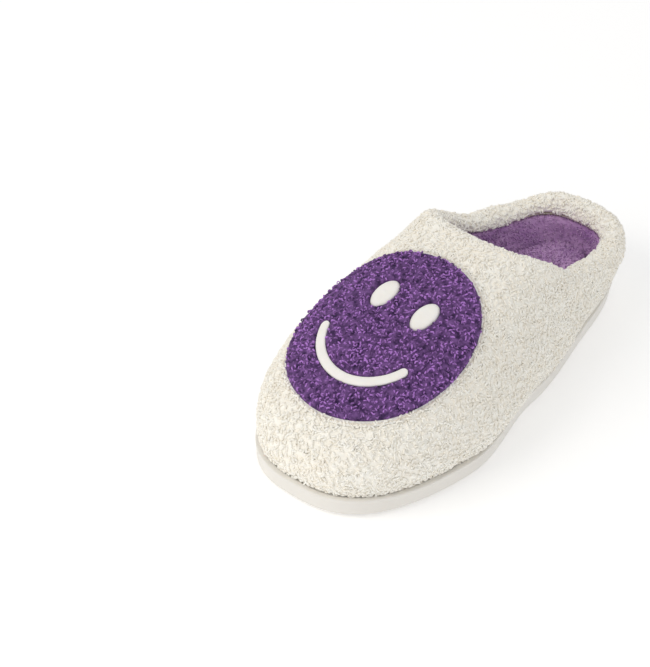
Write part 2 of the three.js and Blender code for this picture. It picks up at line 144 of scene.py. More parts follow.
@dataclass(frozen=True)
class Last:
    """The shape that the slipper is built on: sole outline, topline and the wall between, in millimetres."""

    half_length: float = 130.0
    outer_half_widths: tuple = (60.5, 49.5, 42.5)
    inner_half_widths: tuple = (55.0, 49.5, 43.0)
    ball_y: float = -60.0
    waist_y: float = 5.0
    heel_y: float = 75.0
    end_squareness: float = 2.52
    side_squareness: float = 2.68
    toe_drift: float = 1.0
    lip_height: float = 11.8
    lip_width: float = 2.5
    lip_bead: float = 0.7
    hem_gap: float = 0.6
    topline_front: float = 5.0
    topline_back_inset: float = 0.9
    throat_height: float = 79.5
    side_height: float = 26.0
    heel_height: float = 34.0
    front_inset: float = 1.9
    heel_inset: float = 4.3
    topline_squareness: float = 2.64
    throat_sharpness: float = 2.36
    throat_shoulder: float = 1.6
    heel_sharpness: float = 3.6
    toe_bulge: float = 14.5
    heel_bulge: float = 5.0
    rise: float = 0.52
    lean: float = 0.44
    drop: float = 11.0
    wall: float = 12.0
    lining_start: float = 8.6
    lining_top: float = -3.8
    seam_y: float = 52.0

    def half_width(self, y: Array, phi: Array) -> Array:
        """The sole's half width at y, on the side that phi is on."""
        outer = np.sin(phi) >= 0
        ball, waist, heel = (
            np.where(outer, a, b) for a, b in zip(self.outer_half_widths, self.inner_half_widths)
        )
        to_waist = smooth((y - self.ball_y) / (self.waist_y - self.ball_y))
        to_heel = smooth((y - self.waist_y) / (self.heel_y - self.waist_y))
        return ball + (waist - ball) * to_waist + (heel - waist) * to_heel

    def outline(self, phi: Array, offset: float | Array = 0.0) -> Array:
        """The sole's outline, moved outwards by offset: a superellipse with its own width at each y."""
        point = self._outline_point(phi)
        return point + self.outline_normal(phi) * np.asarray(offset)[..., None]

    def _outline_point(self, phi: Array) -> Array:
        """The outline itself, shape (..., 2)."""
        y = -self.half_length * powered(np.cos(phi), 2 / self.end_squareness)
        x = self.half_width(y, phi) * powered(np.sin(phi), 2 / self.side_squareness)
        return np.stack([x + self.toe_drift * np.maximum(-y / self.half_length, 0) ** 2, y], axis=-1)

    def outline_normal(self, phi: Array) -> Array:
        """The outline's level outward direction, shape (..., 2)."""
        step = 0.01
        along = self._outline_point(phi + step) - self._outline_point(phi - step)
        return unit(np.stack([along[..., 1], -along[..., 0]], axis=-1))

    def topline(self, phi: Array) -> Array:
        """The opening's edge: a superellipse in plan, high at the throat, raised a little at the heel."""
        back = self.half_length - self.topline_back_inset
        middle, half = (self.topline_front + back) / 2, (back - self.topline_front) / 2
        power = 2 / self.topline_squareness
        y = middle - half * powered(np.cos(phi), power)
        inset = self.front_inset + (self.heel_inset - self.front_inset) * smooth((y - 20) / 80)
        x = (self.half_width(y, phi) - inset) * powered(np.sin(phi), power)
        front = ((1 + np.cos(phi)) / 2) ** self.throat_sharpness
        arch = 1 - (1 - front) ** self.throat_shoulder
        heel = ((1 - np.cos(phi)) / 2) ** self.heel_sharpness
        z = self.side_height + (self.throat_height - self.side_height) * arch
        return np.stack([x, y, z + (self.heel_height - self.side_height) * heel], axis=-1)

    def surface(self, phi: Array, t: Array) -> Array:
        """W(phi, t): at each phi one cubic Bezier curve from the lip to the topline."""
        phi, t = np.broadcast_arrays(phi, t)
        foot = self.outline(phi, -self.lip_width - self.hem_gap)
        start = np.concatenate([foot, np.full(phi.shape + (1,), self.lip_height)], axis=-1)
        end = self.topline(phi)
        bulge = self.toe_bulge + (self.heel_bulge - self.toe_bulge) * smooth((foot[..., 1] + 20) / 90)
        first = start.copy()
        first[..., :2] += self.outline_normal(phi) * bulge[..., None]
        first[..., 2] += self.rise * (end[..., 2] - start[..., 2])
        second = end.copy()
        second[..., :2] += (start - end)[..., :2] * self.lean
        second[..., 2] -= self.drop
        t = t[..., None]
        s = 1 - t
        return s**3 * start + 3 * s * s * t * first + 3 * s * t * t * second + t**3 * end

    def directions(self, phi: Array, t: Array) -> tuple[Array, Array]:
        """The surface's upward and outward directions. Near the lip the outward one turns level.

        Args:
            phi: angle round the foot.
            t: place between lip and topline.

        Returns:
            (up, outward), each of shape (..., 3).
        """
        phi, t = np.broadcast_arrays(phi, t)
        step = 0.01
        round_ = self.surface(phi + step, t) - self.surface(phi - step, t)
        up = unit(self.surface(phi, t + step) - self.surface(phi, t - step))
        normal = unit(np.cross(round_, up))
        level = np.concatenate([self.outline_normal(phi), np.zeros(phi.shape + (1,))], axis=-1)
        share = smooth(t / 0.15)[..., None]
        return up, unit(level * (1 - share) + normal * share)

    def layer(self, phi: Array, t: Array, rise: Array, depth: Array) -> Array:
        """W(phi, t) pushed in by depth and raised by rise, straight up where t is 0."""
        phi, t, rise, depth = np.broadcast_arrays(phi, t, rise, depth)
        up, outward = self.directions(phi, t)
        lifted = np.where((t > 0)[..., None], up, np.array([0.0, 0.0, 1.0]))
        return self.surface(phi, t) - outward * depth[..., None] + lifted * rise[..., None]

    def laid(self, phi: Array, section: "Profile", top: float = 0.0) -> Array:
        """A section's points, with anything below the topline measured down along the wall.

        Args:
            phi: angles, shape (columns, section length).
            section: the section.
            top: where t = 1 is moved to, as a rise that is 0 or less.

        Returns:
            Shape (columns, section length, 3).
        """
        speed = np.linalg.norm(self.surface(phi, np.full_like(phi, 0.97)) - self.surface(phi, phi * 0 + 0.9),
                               axis=-1) / 0.07
        fall = np.where(section.t == 1, np.minimum(section.rise, 0.0), 0.0)
        t = section.t * (1 + top / speed) + fall / speed
        return self.layer(phi, t, section.rise - fall, section.depth)

    def seam_angle(self, t: Array, rise: Array, depth: Array, y: float, side: int) -> Array:
        """The angle at which a layer's point crosses the plane of that y, found by halving.

        Args:
            t: place between lip and topline.
            rise: the layer's rise there.
            depth: the layer's depth there.
            y: the plane.
            side: 1 for the outer side, -1 for the inner.

        Returns:
            phi for each point.
        """
        low = np.full(np.shape(t), math.radians(60))
        high = np.full(np.shape(t), math.radians(130))
        for _ in range(24):
            middle = (low + high) / 2
            before = self.layer(side * middle, t, rise, depth)[..., 1] < y
            low = np.where(before, middle, low)
            high = np.where(before, high, middle)
        return side * low


LAST = Last()


def place_of_frame() -> Array:
    """How far the frame's origin is from the last's, in millimetres, from the sole's box."""
    low, high = (np.array(corner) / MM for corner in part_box("outsole"))
    ring = LAST.outline(np.linspace(0, 2 * np.pi, 720), LAST.lip_bead)
    own = (ring.min(axis=0) + ring.max(axis=0)) / 2
    shift = (low + high)[:2] / 2 - own
    return np.array([shift[0], shift[1], low[2]])


ORIGIN = place_of_frame()


# ---- meshes --------------------------------------------------------------------------------------


def make_piece(name: str, points: Array, faces: Sequence, tone: Optional[Array] = None) -> bpy.types.Object:
    """A smooth-shaded object at the origin from points in millimetres on the last.

    Args:
        name: the piece's name.
        points: shape (n, 3).
        faces: lists of point numbers, any count of corners.
        tone: one number a point, kept as the attribute "tone".

    Returns:
        The new object, linked to the scene.
    """
    mesh = bpy.data.meshes.new(name)
    mesh.from_pydata((points + ORIGIN) * MM, [], faces)
    mesh.update()
    mesh.shade_smooth()
    if tone is not None:
        layer = mesh.attributes.new("tone", "FLOAT", "POINT")
        layer.data.foreach_set("value", np.asarray(tone, dtype=np.float32))
    piece = bpy.data.objects.new(name, mesh)
    bpy.context.scene.collection.objects.link(piece)
    return piece


def grid_faces(rows: int, columns: int, closed: bool) -> list:
    """Quads of a grid numbered row by row. A closed grid joins its last column to its first."""
    wide = columns if closed else columns - 1
    r, c = np.meshgrid(np.arange(rows - 1), np.arange(wide), indexing="ij")
    following = (c + 1) % columns
    quads = [r * columns + c, r * columns + following, (r + 1) * columns + following, (r + 1) * columns + c]
    return np.stack(quads, axis=-1).reshape(-1, 4).tolist()


def swept_faces(rows: int, columns: int) -> list:
    """Faces of a closed section carried along a run: rows of sections, with both ends filled."""
    first = list(range(columns))[::-1]
    last = [(rows - 1) * columns + i for i in range(columns)]
    return grid_faces(rows, columns, True) + [first, last]


def facing_out(piece: bpy.types.Object) -> bpy.types.Object:
    """Turns every face of a closed piece round if its volume comes out negative."""
    mesh = piece.data
    mesh.calc_loop_triangles()
    corners = np.empty(len(mesh.loop_triangles) * 3, dtype=np.int32)
    mesh.loop_triangles.foreach_get("vertices", corners)
    points = np.empty(len(mesh.vertices) * 3)
    mesh.vertices.foreach_get("co", points)
    a, b, c = points.reshape(-1, 3)[corners.reshape(-1, 3)].transpose(1, 0, 2)
    if np.sum(dot(a, np.cross(b, c))) < 0:
        mesh.flip_normals()
    return piece


def grid_normals(points: Array) -> Array:
    """Directions square to a grid of points, shape (rows, columns, 3): row direction x column direction."""
    return unit(np.cross(np.gradient(points, axis=0), np.gradient(points, axis=1)))


def even_shares(points: Array, count: int) -> Array:
    """Where to cut a line of points so that the pieces are equally long.

    Args:
        points: a line sampled at equal steps of its parameter, shape (n, 3).
        count: how many cuts to return.

    Returns:
        Parameters from 0 to 1.
    """
    lengths = np.linalg.norm(np.diff(points, axis=0), axis=-1)
    run = np.concatenate([[0.0], np.cumsum(lengths)])
    return np.interp(np.linspace(0, run[-1], count), run, np.linspace(0, 1, len(points)))


@dataclass
class Profile:
    """A section of a layer as matching lists of t, rise and depth."""

    t: Array
    rise: Array
    depth: Array

    @classmethod
    def joined(cls, *parts: tuple) -> "Profile":
        """One profile from runs of (t, rise, depth), each a number or a list."""
        runs = [np.broadcast_arrays(*(np.atleast_1d(np.asarray(v, float)) for v in part)) for part in parts]
        return cls(*(np.concatenate([run[k] for run in runs]) for k in range(3)))


class Panel(Enum):
    """The two cut panels that every layer of the upper is made in."""

    VAMP = "vamp"
    HEEL = "heel"


def panel_angles(profile: Profile, panel: Panel, gap: float, columns: int) -> Array:
    """phi for each ring and profile point of a panel, from side seam to side seam.

    Args:
        profile: the section.
        panel: vamp or heel.
        gap: the whole gap at each seam, half of it taken by this panel.
        columns: how many rings.

    Returns:
        Shape (columns, profile length), with rings evenly spaced along the surface at mid height.
    """
    y = LAST.seam_y + (gap / 2 if panel is Panel.HEEL else -gap / 2)
    outer = LAST.seam_angle(profile.t, profile.rise, profile.depth, y, 1)
    inner = LAST.seam_angle(profile.t, profile.rise, profile.depth, y, -1)
    first, last = (outer, inner + 2 * np.pi) if panel is Panel.HEEL else (inner, outer)
    middle = len(profile.t) // 4
    sample = np.linspace(first[middle], last[middle], 400)
    shares = even_shares(LAST.surface(sample, np.full(400, 0.35)), columns)[:, None]
    return first + (last - first) * shares


def scattered(points: Array, spacing: float, rng: np.random.Generator) -> tuple[Array, Array]:
    """Places spread evenly at random over a grid surface, at most one in each cube of the spacing.

    Args:
        points: the surface, shape (rows, columns, 3).
        spacing: about how far apart the places are.
        rng: the random source.

    Returns:
        (places, outward directions), each of shape (n, 3).
    """
    p00, p01, p10, p11 = points[:-1, :-1], points[:-1, 1:], points[1:, :-1], points[1:, 1:]
    area = np.linalg.norm(np.cross(p10 - p00, p01 - p00), axis=-1).ravel()
    normal = unit(np.cross(p11 - p00, p01 - p10)).reshape(-1, 3)
    count = int(6 * area.sum() / spacing**2)
    chosen = rng.choice(area.size, size=count, p=area / area.sum())
    u, v = rng.random((2, count, 1))
    flat = [p.reshape(-1, 3)[chosen] for p in (p00, p01, p10, p11)]
    places = flat[0] * (1 - u) * (1 - v) + flat[1] * (1 - u) * v + flat[2] * u * (1 - v) + flat[3] * u * v
    cube = np.floor(places / spacing).astype(np.int64)
    _, kept = np.unique(cube, axis=0, return_index=True)
    return places[kept], normal[chosen[kept]]


@dataclass(frozen=True)
class Yarn:
    """How a pile's loops are made, in millimetres."""

    radius: tuple = (0.75, 1.15)
    thickness: tuple = (0.5, 0.68)
    turn: tuple = (150.0, 260.0)
    sink: float = 0.45
    drift: float = 0.5
    rings: int = 6

    def loops(self, name: str, places: Array, normals: Array, rng: np.random.Generator) -> bpy.types.Object:
        """Small open loops of yarn that stand out of a surface, as one mesh of separate closed tubes.

        Each loop is a tube round an arc in the plane of the surface's normal and a random level
        direction, drifting sideways along the arc as a ringlet does.

        Args:
            name: the piece's name.
            places: the loops' middles.
            normals: the surface's outward directions there.
            rng: the random source.

        Returns:
            The new piece, with one random tone a loop.
        """
        n = len(places)
        lean = unit(normals + 0.45 * rng.normal(size=(n, 3)))
        level = unit(np.cross(lean, rng.normal(size=(n, 3))))
        side = np.cross(lean, level)
        radius = rng.uniform(*self.radius, size=(n, 1, 1))
        thick = rng.uniform(*self.thickness, size=(n, 1, 1, 1))
        turn = np.radians(rng.uniform(*self.turn, size=(n, 1)))
        swing = np.linspace(-0.5, 0.5, self.rings)
        angle = (np.pi / 2 + turn * swing)[..., None]
        spoke = np.cos(angle) * level[:, None] + np.sin(angle) * lean[:, None]
        drift = rng.uniform(-1, 1, size=(n, 1, 1)) * self.drift * radius
        path = (places - lean * self.sink)[:, None] + radius * spoke
        path = path + 2 * drift * swing[:, None] * side[:, None]
        corner = np.arange(4) * np.pi / 2 + np.pi / 4
        ends = np.where(np.abs(swing) > 0.49, 0.55, 1.0)[:, None, None]
        ring = np.cos(corner)[:, None] * spoke[:, :, None] + np.sin(corner)[:, None] * side[:, None, None]
        points = (path[:, :, None] + ring * thick * ends).reshape(-1, 3)
        size = self.rings * 4
        one = np.array(grid_faces(self.rings, 4, True) + [[3, 2, 1, 0], list(range(size - 4, size))])
        faces = (one[None] + np.arange(n)[:, None, None] * size).reshape(-1, 4)
        tone = np.repeat(rng.random(n), size)
        return facing_out(make_piece(name, points, faces.tolist(), tone))


@dataclass(frozen=True)
class CutPile:
    """How a short brushed pile is made: thin bent tapering tufts, in millimetres."""

    length: tuple = (1.2, 2.0)
    thickness: float = 0.42
    lean: float = 0.7

    def tufts(self, name: str, places: Array, normals: Array, rng: np.random.Generator) -> bpy.types.Object:
        """Tufts that stand out of a surface: three-sided spikes with one bend.

        Args:
            name: the piece's name.
            places: the tufts' roots.
            normals: the surface's outward directions there.
            rng: the random source.

        Returns:
            The new piece, with one random tone a tuft.
        """
        n = len(places)
        way = unit(normals + self.lean * rng.normal(size=(n, 3)))
        level = unit(np.cross(way, rng.normal(size=(n, 3))))
        side = np.cross(way, level)
        length = rng.uniform(*self.length, size=(n, 1))
        corner = np.arange(3) * 2 * np.pi / 3
        circle = np.cos(corner)[:, None] * level[:, None] + np.sin(corner)[:, None] * side[:, None]
        root = (places - normals * 0.4)[:, None] + circle * self.thickness
        middle = (places + way * length * 0.55)[:, None] + circle * self.thickness * 0.75
        tip = (places + way * length + level * length * 0.25)[:, None]
        points = np.concatenate([root, middle, tip], axis=1).reshape(-1, 3)
        sides = [[0, 1, 4, 3], [1, 2, 5, 4], [2, 0, 3, 5]]
        ends = [[3, 4, 6], [4, 5, 6], [5, 3, 6], [2, 1, 0]]
        start = np.arange(n)[:, None, None] * 7
        faces = (np.array(sides) + start).reshape(-1, 4).tolist()
        faces += (np.array(ends) + start).reshape(-1, 3).tolist()
        return facing_out(make_piece(name, points, faces, np.repeat(rng.random(n), 7)))


# ---- finishes ------------------------------------------------------------------------------------


def colour(code: str) -> tuple:
    """Linear RGBA from an sRGB hex code."""
    channels = [int(code[i:i + 2], 16) / 255 for i in (1, 3, 5)]
    return tuple(c / 12.92 if c <= 0.04045 else ((c + 0.055) / 1.055) ** 2.4 for c in channels) + (1.0,)


def add_node(tree: bpy.types.NodeTree, kind: str, links: Optional[dict] = None, **settings) -> bpy.types.Node:
    """Adds a node, sets its properties and input values, and links its inputs.

    Args:
        tree: the material's node tree.
        kind: the node's type name.
        links: input name or number to the socket that feeds it.
        settings: property names, or input names with spaces as underscores, to values.

    Returns:
        The node.
    """
    node = tree.nodes.new(kind)
    for key, value in settings.items():
        if hasattr(node, key):
            setattr(node, key, value)
        else:
            node.inputs[key.replace("_", " ")].default_value = value
    for key, source in (links or {}).items():
        tree.links.new(source, node.inputs[key])
    return node


def new_material(name: str) -> tuple:
    """An empty node material: (material, its tree, its output node)."""
    material = bpy.data.materials.new(name)
    material.use_nodes = True
    tree = material.node_tree
    tree.nodes.clear()
    return material, tree, tree.nodes.new("ShaderNodeOutputMaterial")


def per_mm(size: float) -> float:
    """A noise texture's scale for features of that size in millimetres, on Object coordinates in metres."""
    return 1.0 / (size * MM)


@dataclass(frozen=True)
class PileFinish:
    """A yarn or fibre surface: colour varied by yarn and by patch, soft sheen, a little light let through.

    Attributes:
        name: what the stuff is.
        deep: colour of the darker yarns, and painted shade where it is put on a ground between them.
        pale: colour of the lighter yarns.
        patch: size in millimetres of slow colour changes, where the pile lies differently.
        fibre: size in millimetres of the fibres' own relief.
        sheen: strength of the fuzz that catches light edge on.
        glow: share of light that spreads inside the pile.
        reach: how far that light spreads, in millimetres, red, green and blue.
    """

    name: str
    deep: str
    pale: str
    patch: float = 9.0
    fibre: float = 0.35
    relief: float = 0.12
    sheen: float = 0.3
    sheen_tint: str = "#FFFFFF"
    glow: float = 0.15
    reach: tuple = (2.5, 2.0, 1.5)
    roughness: float = 0.95

    def build(self) -> bpy.types.Material:
        """Makes the material."""
        material, tree, output = new_material(self.name)
        place = add_node(tree, "ShaderNodeTexCoord").outputs["Object"]
        slow = add_node(tree, "ShaderNodeTexNoise", {"Vector": place}, Scale=per_mm(self.patch), Detail=2.0)
        fine = add_node(tree, "ShaderNodeTexNoise", {"Vector": place}, Scale=per_mm(self.fibre), Detail=3.0,
                        Roughness=0.65)
        tone = add_node(tree, "ShaderNodeAttribute", attribute_name="tone")
        mixed = add_node(tree, "ShaderNodeMath", {0: slow.outputs["Fac"], 1: tone.outputs["Fac"]},
                         operation="ADD")
        halved = add_node(tree, "ShaderNodeMapRange", {"Value": mixed.outputs[0]})
        for key, value in {"From Min": 0.35, "From Max": 1.45}.items():
            halved.inputs[key].default_value = value
        ramp = add_node(tree, "ShaderNodeMix", {"Factor": halved.outputs[0]}, data_type="RGBA")
        ramp.inputs["A"].default_value = colour(self.deep)
        ramp.inputs["B"].default_value = colour(self.pale)
        bump = add_node(tree, "ShaderNodeBump", {"Height": fine.outputs["Fac"]}, Strength=0.8,
                        Distance=self.relief * MM)
        shader = add_node(tree, "ShaderNodeBsdfPrincipled",
                          {"Base Color": ramp.outputs["Result"], "Normal": bump.outputs["Normal"]})
        shader.inputs["Roughness"].default_value = self.roughness
        shader.inputs["Sheen Weight"].default_value = self.sheen
        shader.inputs["Sheen Roughness"].default_value = 0.5
        shader.inputs["Sheen Tint"].default_value = colour(self.sheen_tint)
        shader.inputs["Subsurface Weight"].default_value = self.glow
        shader.inputs["Subsurface Radius"].default_value = self.reach
        shader.inputs["Subsurface Scale"].default_value = MM
        tree.links.new(shader.outputs[0], output.inputs["Surface"])
        return material


@dataclass(frozen=True)
class RubberFinish:
    """Moulded thermoplastic rubber: satin, slightly cloudy, with the mould's fine grain."""

    name: str
    deep: str
    pale: str
    grain: float = 0.5
    relief: float = 0.03
    roughness: float = 0.46
    glow: float = 0.12

    def build(self) -> bpy.types.Material:
        """Makes the material."""
        material, tree, output = new_material(self.name)
        place = add_node(tree, "ShaderNodeTexCoord").outputs["Object"]
        cloud = add_node(tree, "ShaderNodeTexNoise", {"Vector": place}, Scale=per_mm(30.0), Detail=3.0)
        grain = add_node(tree, "ShaderNodeTexNoise", {"Vector": place}, Scale=per_mm(self.grain), Detail=2.0)
        ramp = add_node(tree, "ShaderNodeMix", {"Factor": cloud.outputs["Fac"]}, data_type="RGBA")
        ramp.inputs["A"].default_value = colour(self.deep)
        ramp.inputs["B"].default_value = colour(self.pale)
        gloss = add_node(tree, "ShaderNodeMapRange", {"Value": cloud.outputs["Fac"]})
        gloss.inputs["To Min"].default_value = self.roughness - 0.06
        gloss.inputs["To Max"].default_value = self.roughness + 0.08
        bump = add_node(tree, "ShaderNodeBump", {"Height": grain.outputs["Fac"]}, Strength=0.5,
                        Distance=self.relief * MM)
        shader = add_node(tree, "ShaderNodeBsdfPrincipled",
                          {"Base Color": ramp.outputs["Result"], "Roughness": gloss.outputs[0],
                           "Normal": bump.outputs["Normal"]})
        shader.inputs["IOR"].default_value = 1.5
        shader.inputs["Subsurface Weight"].default_value = self.glow
        shader.inputs["Subsurface Radius"].default_value = (2.0, 1.8, 1.6)
        shader.inputs["Subsurface Scale"].default_value = MM
        tree.links.new(shader.outputs[0], output.inputs["Surface"])
        return material


# Polyester sherpa fleece: ivory yarns varied at random; on the panels the deeper, warmer colour is painted
# shade in the hollows between the lumps and along the seams.
FLEECE = PileFinish("ivory_sherpa_fleece", "#FBF5E9", "#FFFDF6", patch=12.0, glow=0.0, sheen=0.1,
                    relief=0.05)
# Looped chenille yarn in violet, its yarns varied at random from deep to pale; the deep colour on the ground
# between the loops is painted shade in the gaps.
CHENILLE = PileFinish("violet_chenille_yarn", "#2A0F40", "#BF86DC", patch=3.0, fibre=0.25, sheen=0.08,
                      sheen_tint="#D9C4EA", glow=0.05, reach=(0.8, 0.5, 0.9))
# Short brushed plush in orchid purple, whose nap lies lighter or darker in patches.
PLUSH = PileFinish("orchid_brushed_plush", "#AC80BA", "#DCB6E0", patch=14.0, fibre=0.3, sheen=0.45,
                   sheen_tint="#E6CDEE", glow=0.06, reach=(1.0, 0.6, 1.0))
# Pressed wool felt: near white and quite smooth.
FELT = PileFinish("white_pressed_felt", "#F1ECE2", "#FCFAF5", patch=6.0, fibre=0.25, relief=0.06, sheen=0.2,
                  glow=0.1)
# Twisted polyester sewing thread: slightly shiny along its strands.
THREAD = PileFinish("ivory_twisted_thread", "#E9DFCC", "#F6F0E2", patch=2.0, fibre=0.12, relief=0.03,
                    sheen=0.1, glow=0.0, roughness=0.6)
# Open cell polyurethane foam, cut, with its cells showing.
FOAM = PileFinish("cut_polyurethane_foam", "#EADFC0", "#F4ECD4", patch=20.0, fibre=0.6, relief=0.25,
                  sheen=0.0, glow=0.1)
# Bonded fibre board for the sock and the counter.
BOARD = PileFinish("bonded_fibre_board", "#C9BFA8", "#DAD2BE", patch=8.0, fibre=0.5, relief=0.05, sheen=0.0,
                   glow=0.0, roughness=0.85)
# Moulded thermoplastic rubber in warm white.
RUBBER = RubberFinish("warm_white_thermoplastic_rubber", "#E3DFD8", "#EFECE6")


class Wardrobe:
    """Builds each finish once and puts it on pieces."""

    def __init__(self) -> None:
        """Starts with nothing built."""
        self._built: dict = {}

    def dress(self, piece: bpy.types.Object, finish: PileFinish | RubberFinish) -> None:
        """Gives the piece that finish and no other."""
        if finish.name not in self._built:
            self._built[finish.name] = finish.build()
        piece.data.materials.clear()
        piece.data.materials.append(self._built[finish.name])

    def place(self, piece: bpy.types.Object, finish: PileFinish | RubberFinish, slot: str,
              stands_for: Sequence[str] = ()) -> bpy.types.Object:
        """Dresses a new piece, puts it on the body and hides the frame nodes that it stands for.

        Args:
            piece: the new piece.
            finish: its finish.
            slot: not used.
            stands_for: frame nodes that it replaces.

        Returns:
            The piece.
        """
        self.dress(piece, finish)
        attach(piece, BODY)
        if stands_for:
            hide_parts(*stands_for)
        log.info("%s: %d faces, %s", piece.name, len(piece.data.polygons), finish.name)
        return piece


# ---- the motif patch -----------------------------------------------------------------------------


@dataclass(frozen=True)
class PatchMap:
    """Lays a flat round patch over the toe: flat (u, v) in millimetres to places on the surface."""

    phi: float = math.radians(0.1)
    t: float = 0.638
    bend_u: float = 60.0
    bend_v: float = 150.0
    stretch_v: float = 1.17
    turn: float = math.radians(-3.0)

    def axes(self) -> tuple:
        """The patch's middle and its directions across, up and out."""
        phi, t = np.array(self.phi), np.array(self.t)
        facing = LAST.directions(phi, t)[1]
        across = unit(np.array([1.0, 0.0, 0.0]) - facing * facing[0])
        return LAST.surface(phi, t), across, np.cross(facing, across), facing

    def place(self, u: Array, v: Array, lift: Array) -> Array:
        """Points above the fabric at (u, v), by Newton steps on phi and t for all points at once.

        The patch's own curve shortens its reach: seen along its middle's normal, a point at u lies at
        bend * sin(u / bend).
        """
        middle, across, upward, _ = self.axes()
        u, v, lift = np.broadcast_arrays(u, v, lift)
        c, s = math.cos(self.turn), math.sin(self.turn)
        want_u = self.bend_u * np.sin((u * c - v * s) / self.bend_u)
        want_v = self.bend_v * np.sin((u * s + v * c) * self.stretch_v / self.bend_v)

        def miss(phi: Array, t: Array) -> tuple:
            """How far the surface point is from the wanted place, across and up."""
            away = LAST.surface(phi, t) - middle
            return dot(away, across) - want_u, dot(away, upward) - want_v

        phi, t = np.full(u.shape, self.phi), np.full(u.shape, self.t)
        step = 1e-3
        for _ in range(9):
            a, b = miss(phi, t)
            a_phi, b_phi = ((after - now) / step for after, now in zip(miss(phi + step, t), (a, b)))
            a_t, b_t = ((after - now) / step for after, now in zip(miss(phi, t + step), (a, b)))
            det = a_phi * b_t - a_t * b_phi
            phi = phi - (a * b_t - b * a_t) / det
            t = t - (b * a_phi - a * b_phi) / det
        return LAST.surface(phi, t) + LAST.directions(phi, t)[1] * lift[..., None]

    def flat(self, points: Array) -> tuple[Array, Array, Array]:
        """(u, v, side) of places near the patch: the inverse of place, with side below 0 off its face."""
        middle, across, upward, facing = self.axes()
        away = points - middle
        u = self.bend_u * np.arcsin(np.clip(dot(away, across) / self.bend_u, -1, 1))
        v = self.bend_v / self.stretch_v * np.arcsin(np.clip(dot(away, upward) / self.bend_v, -1, 1))
        c, s = math.cos(-self.turn), math.sin(-self.turn)
        return u * c - v * s, u * s + v * c, dot(away, facing) + 34.0


@dataclass(frozen=True)
class FaceDesign:
    """A plain round happy face: two short oval eyes and an even curved mouth, in millimetres."""

    radius: float = 45.0
    margin: float = 2.2
    eye_u: float = 12.5
    eye_v: float = 14.5
    eye_half_width: float = 5.6
    eye_half_height: float = 8.2
    mouth_v: float = -1.0
    mouth_radius: float = 27.0
    mouth_half_angle: float = math.radians(66.0)
    mouth_width: float = 4.6

    def inside(self, u: Array, v: Array) -> Array:
        """Distance into the nearest eye or mouth: above 0 inside one, below 0 outside all."""
        eyes = []
        for side in (-1, 1):
            across = (u - side * self.eye_u) / self.eye_half_width
            along = (v - self.eye_v) / self.eye_half_height
            share = np.hypot(across, along)
            eyes.append((1 - share) * self.eye_half_width)
        angle = np.arctan2(v - self.mouth_v, u) + np.pi / 2
        angle = np.clip((angle + np.pi) % (2 * np.pi) - np.pi, -self.mouth_half_angle, self.mouth_half_angle)
        near_u = self.mouth_radius * np.sin(angle)
        near_v = self.mouth_v - self.mouth_radius * np.cos(angle)
        mouth = self.mouth_width / 2 - np.hypot(u - near_u, v - near_v)
        return np.maximum(np.maximum(*eyes), mouth)


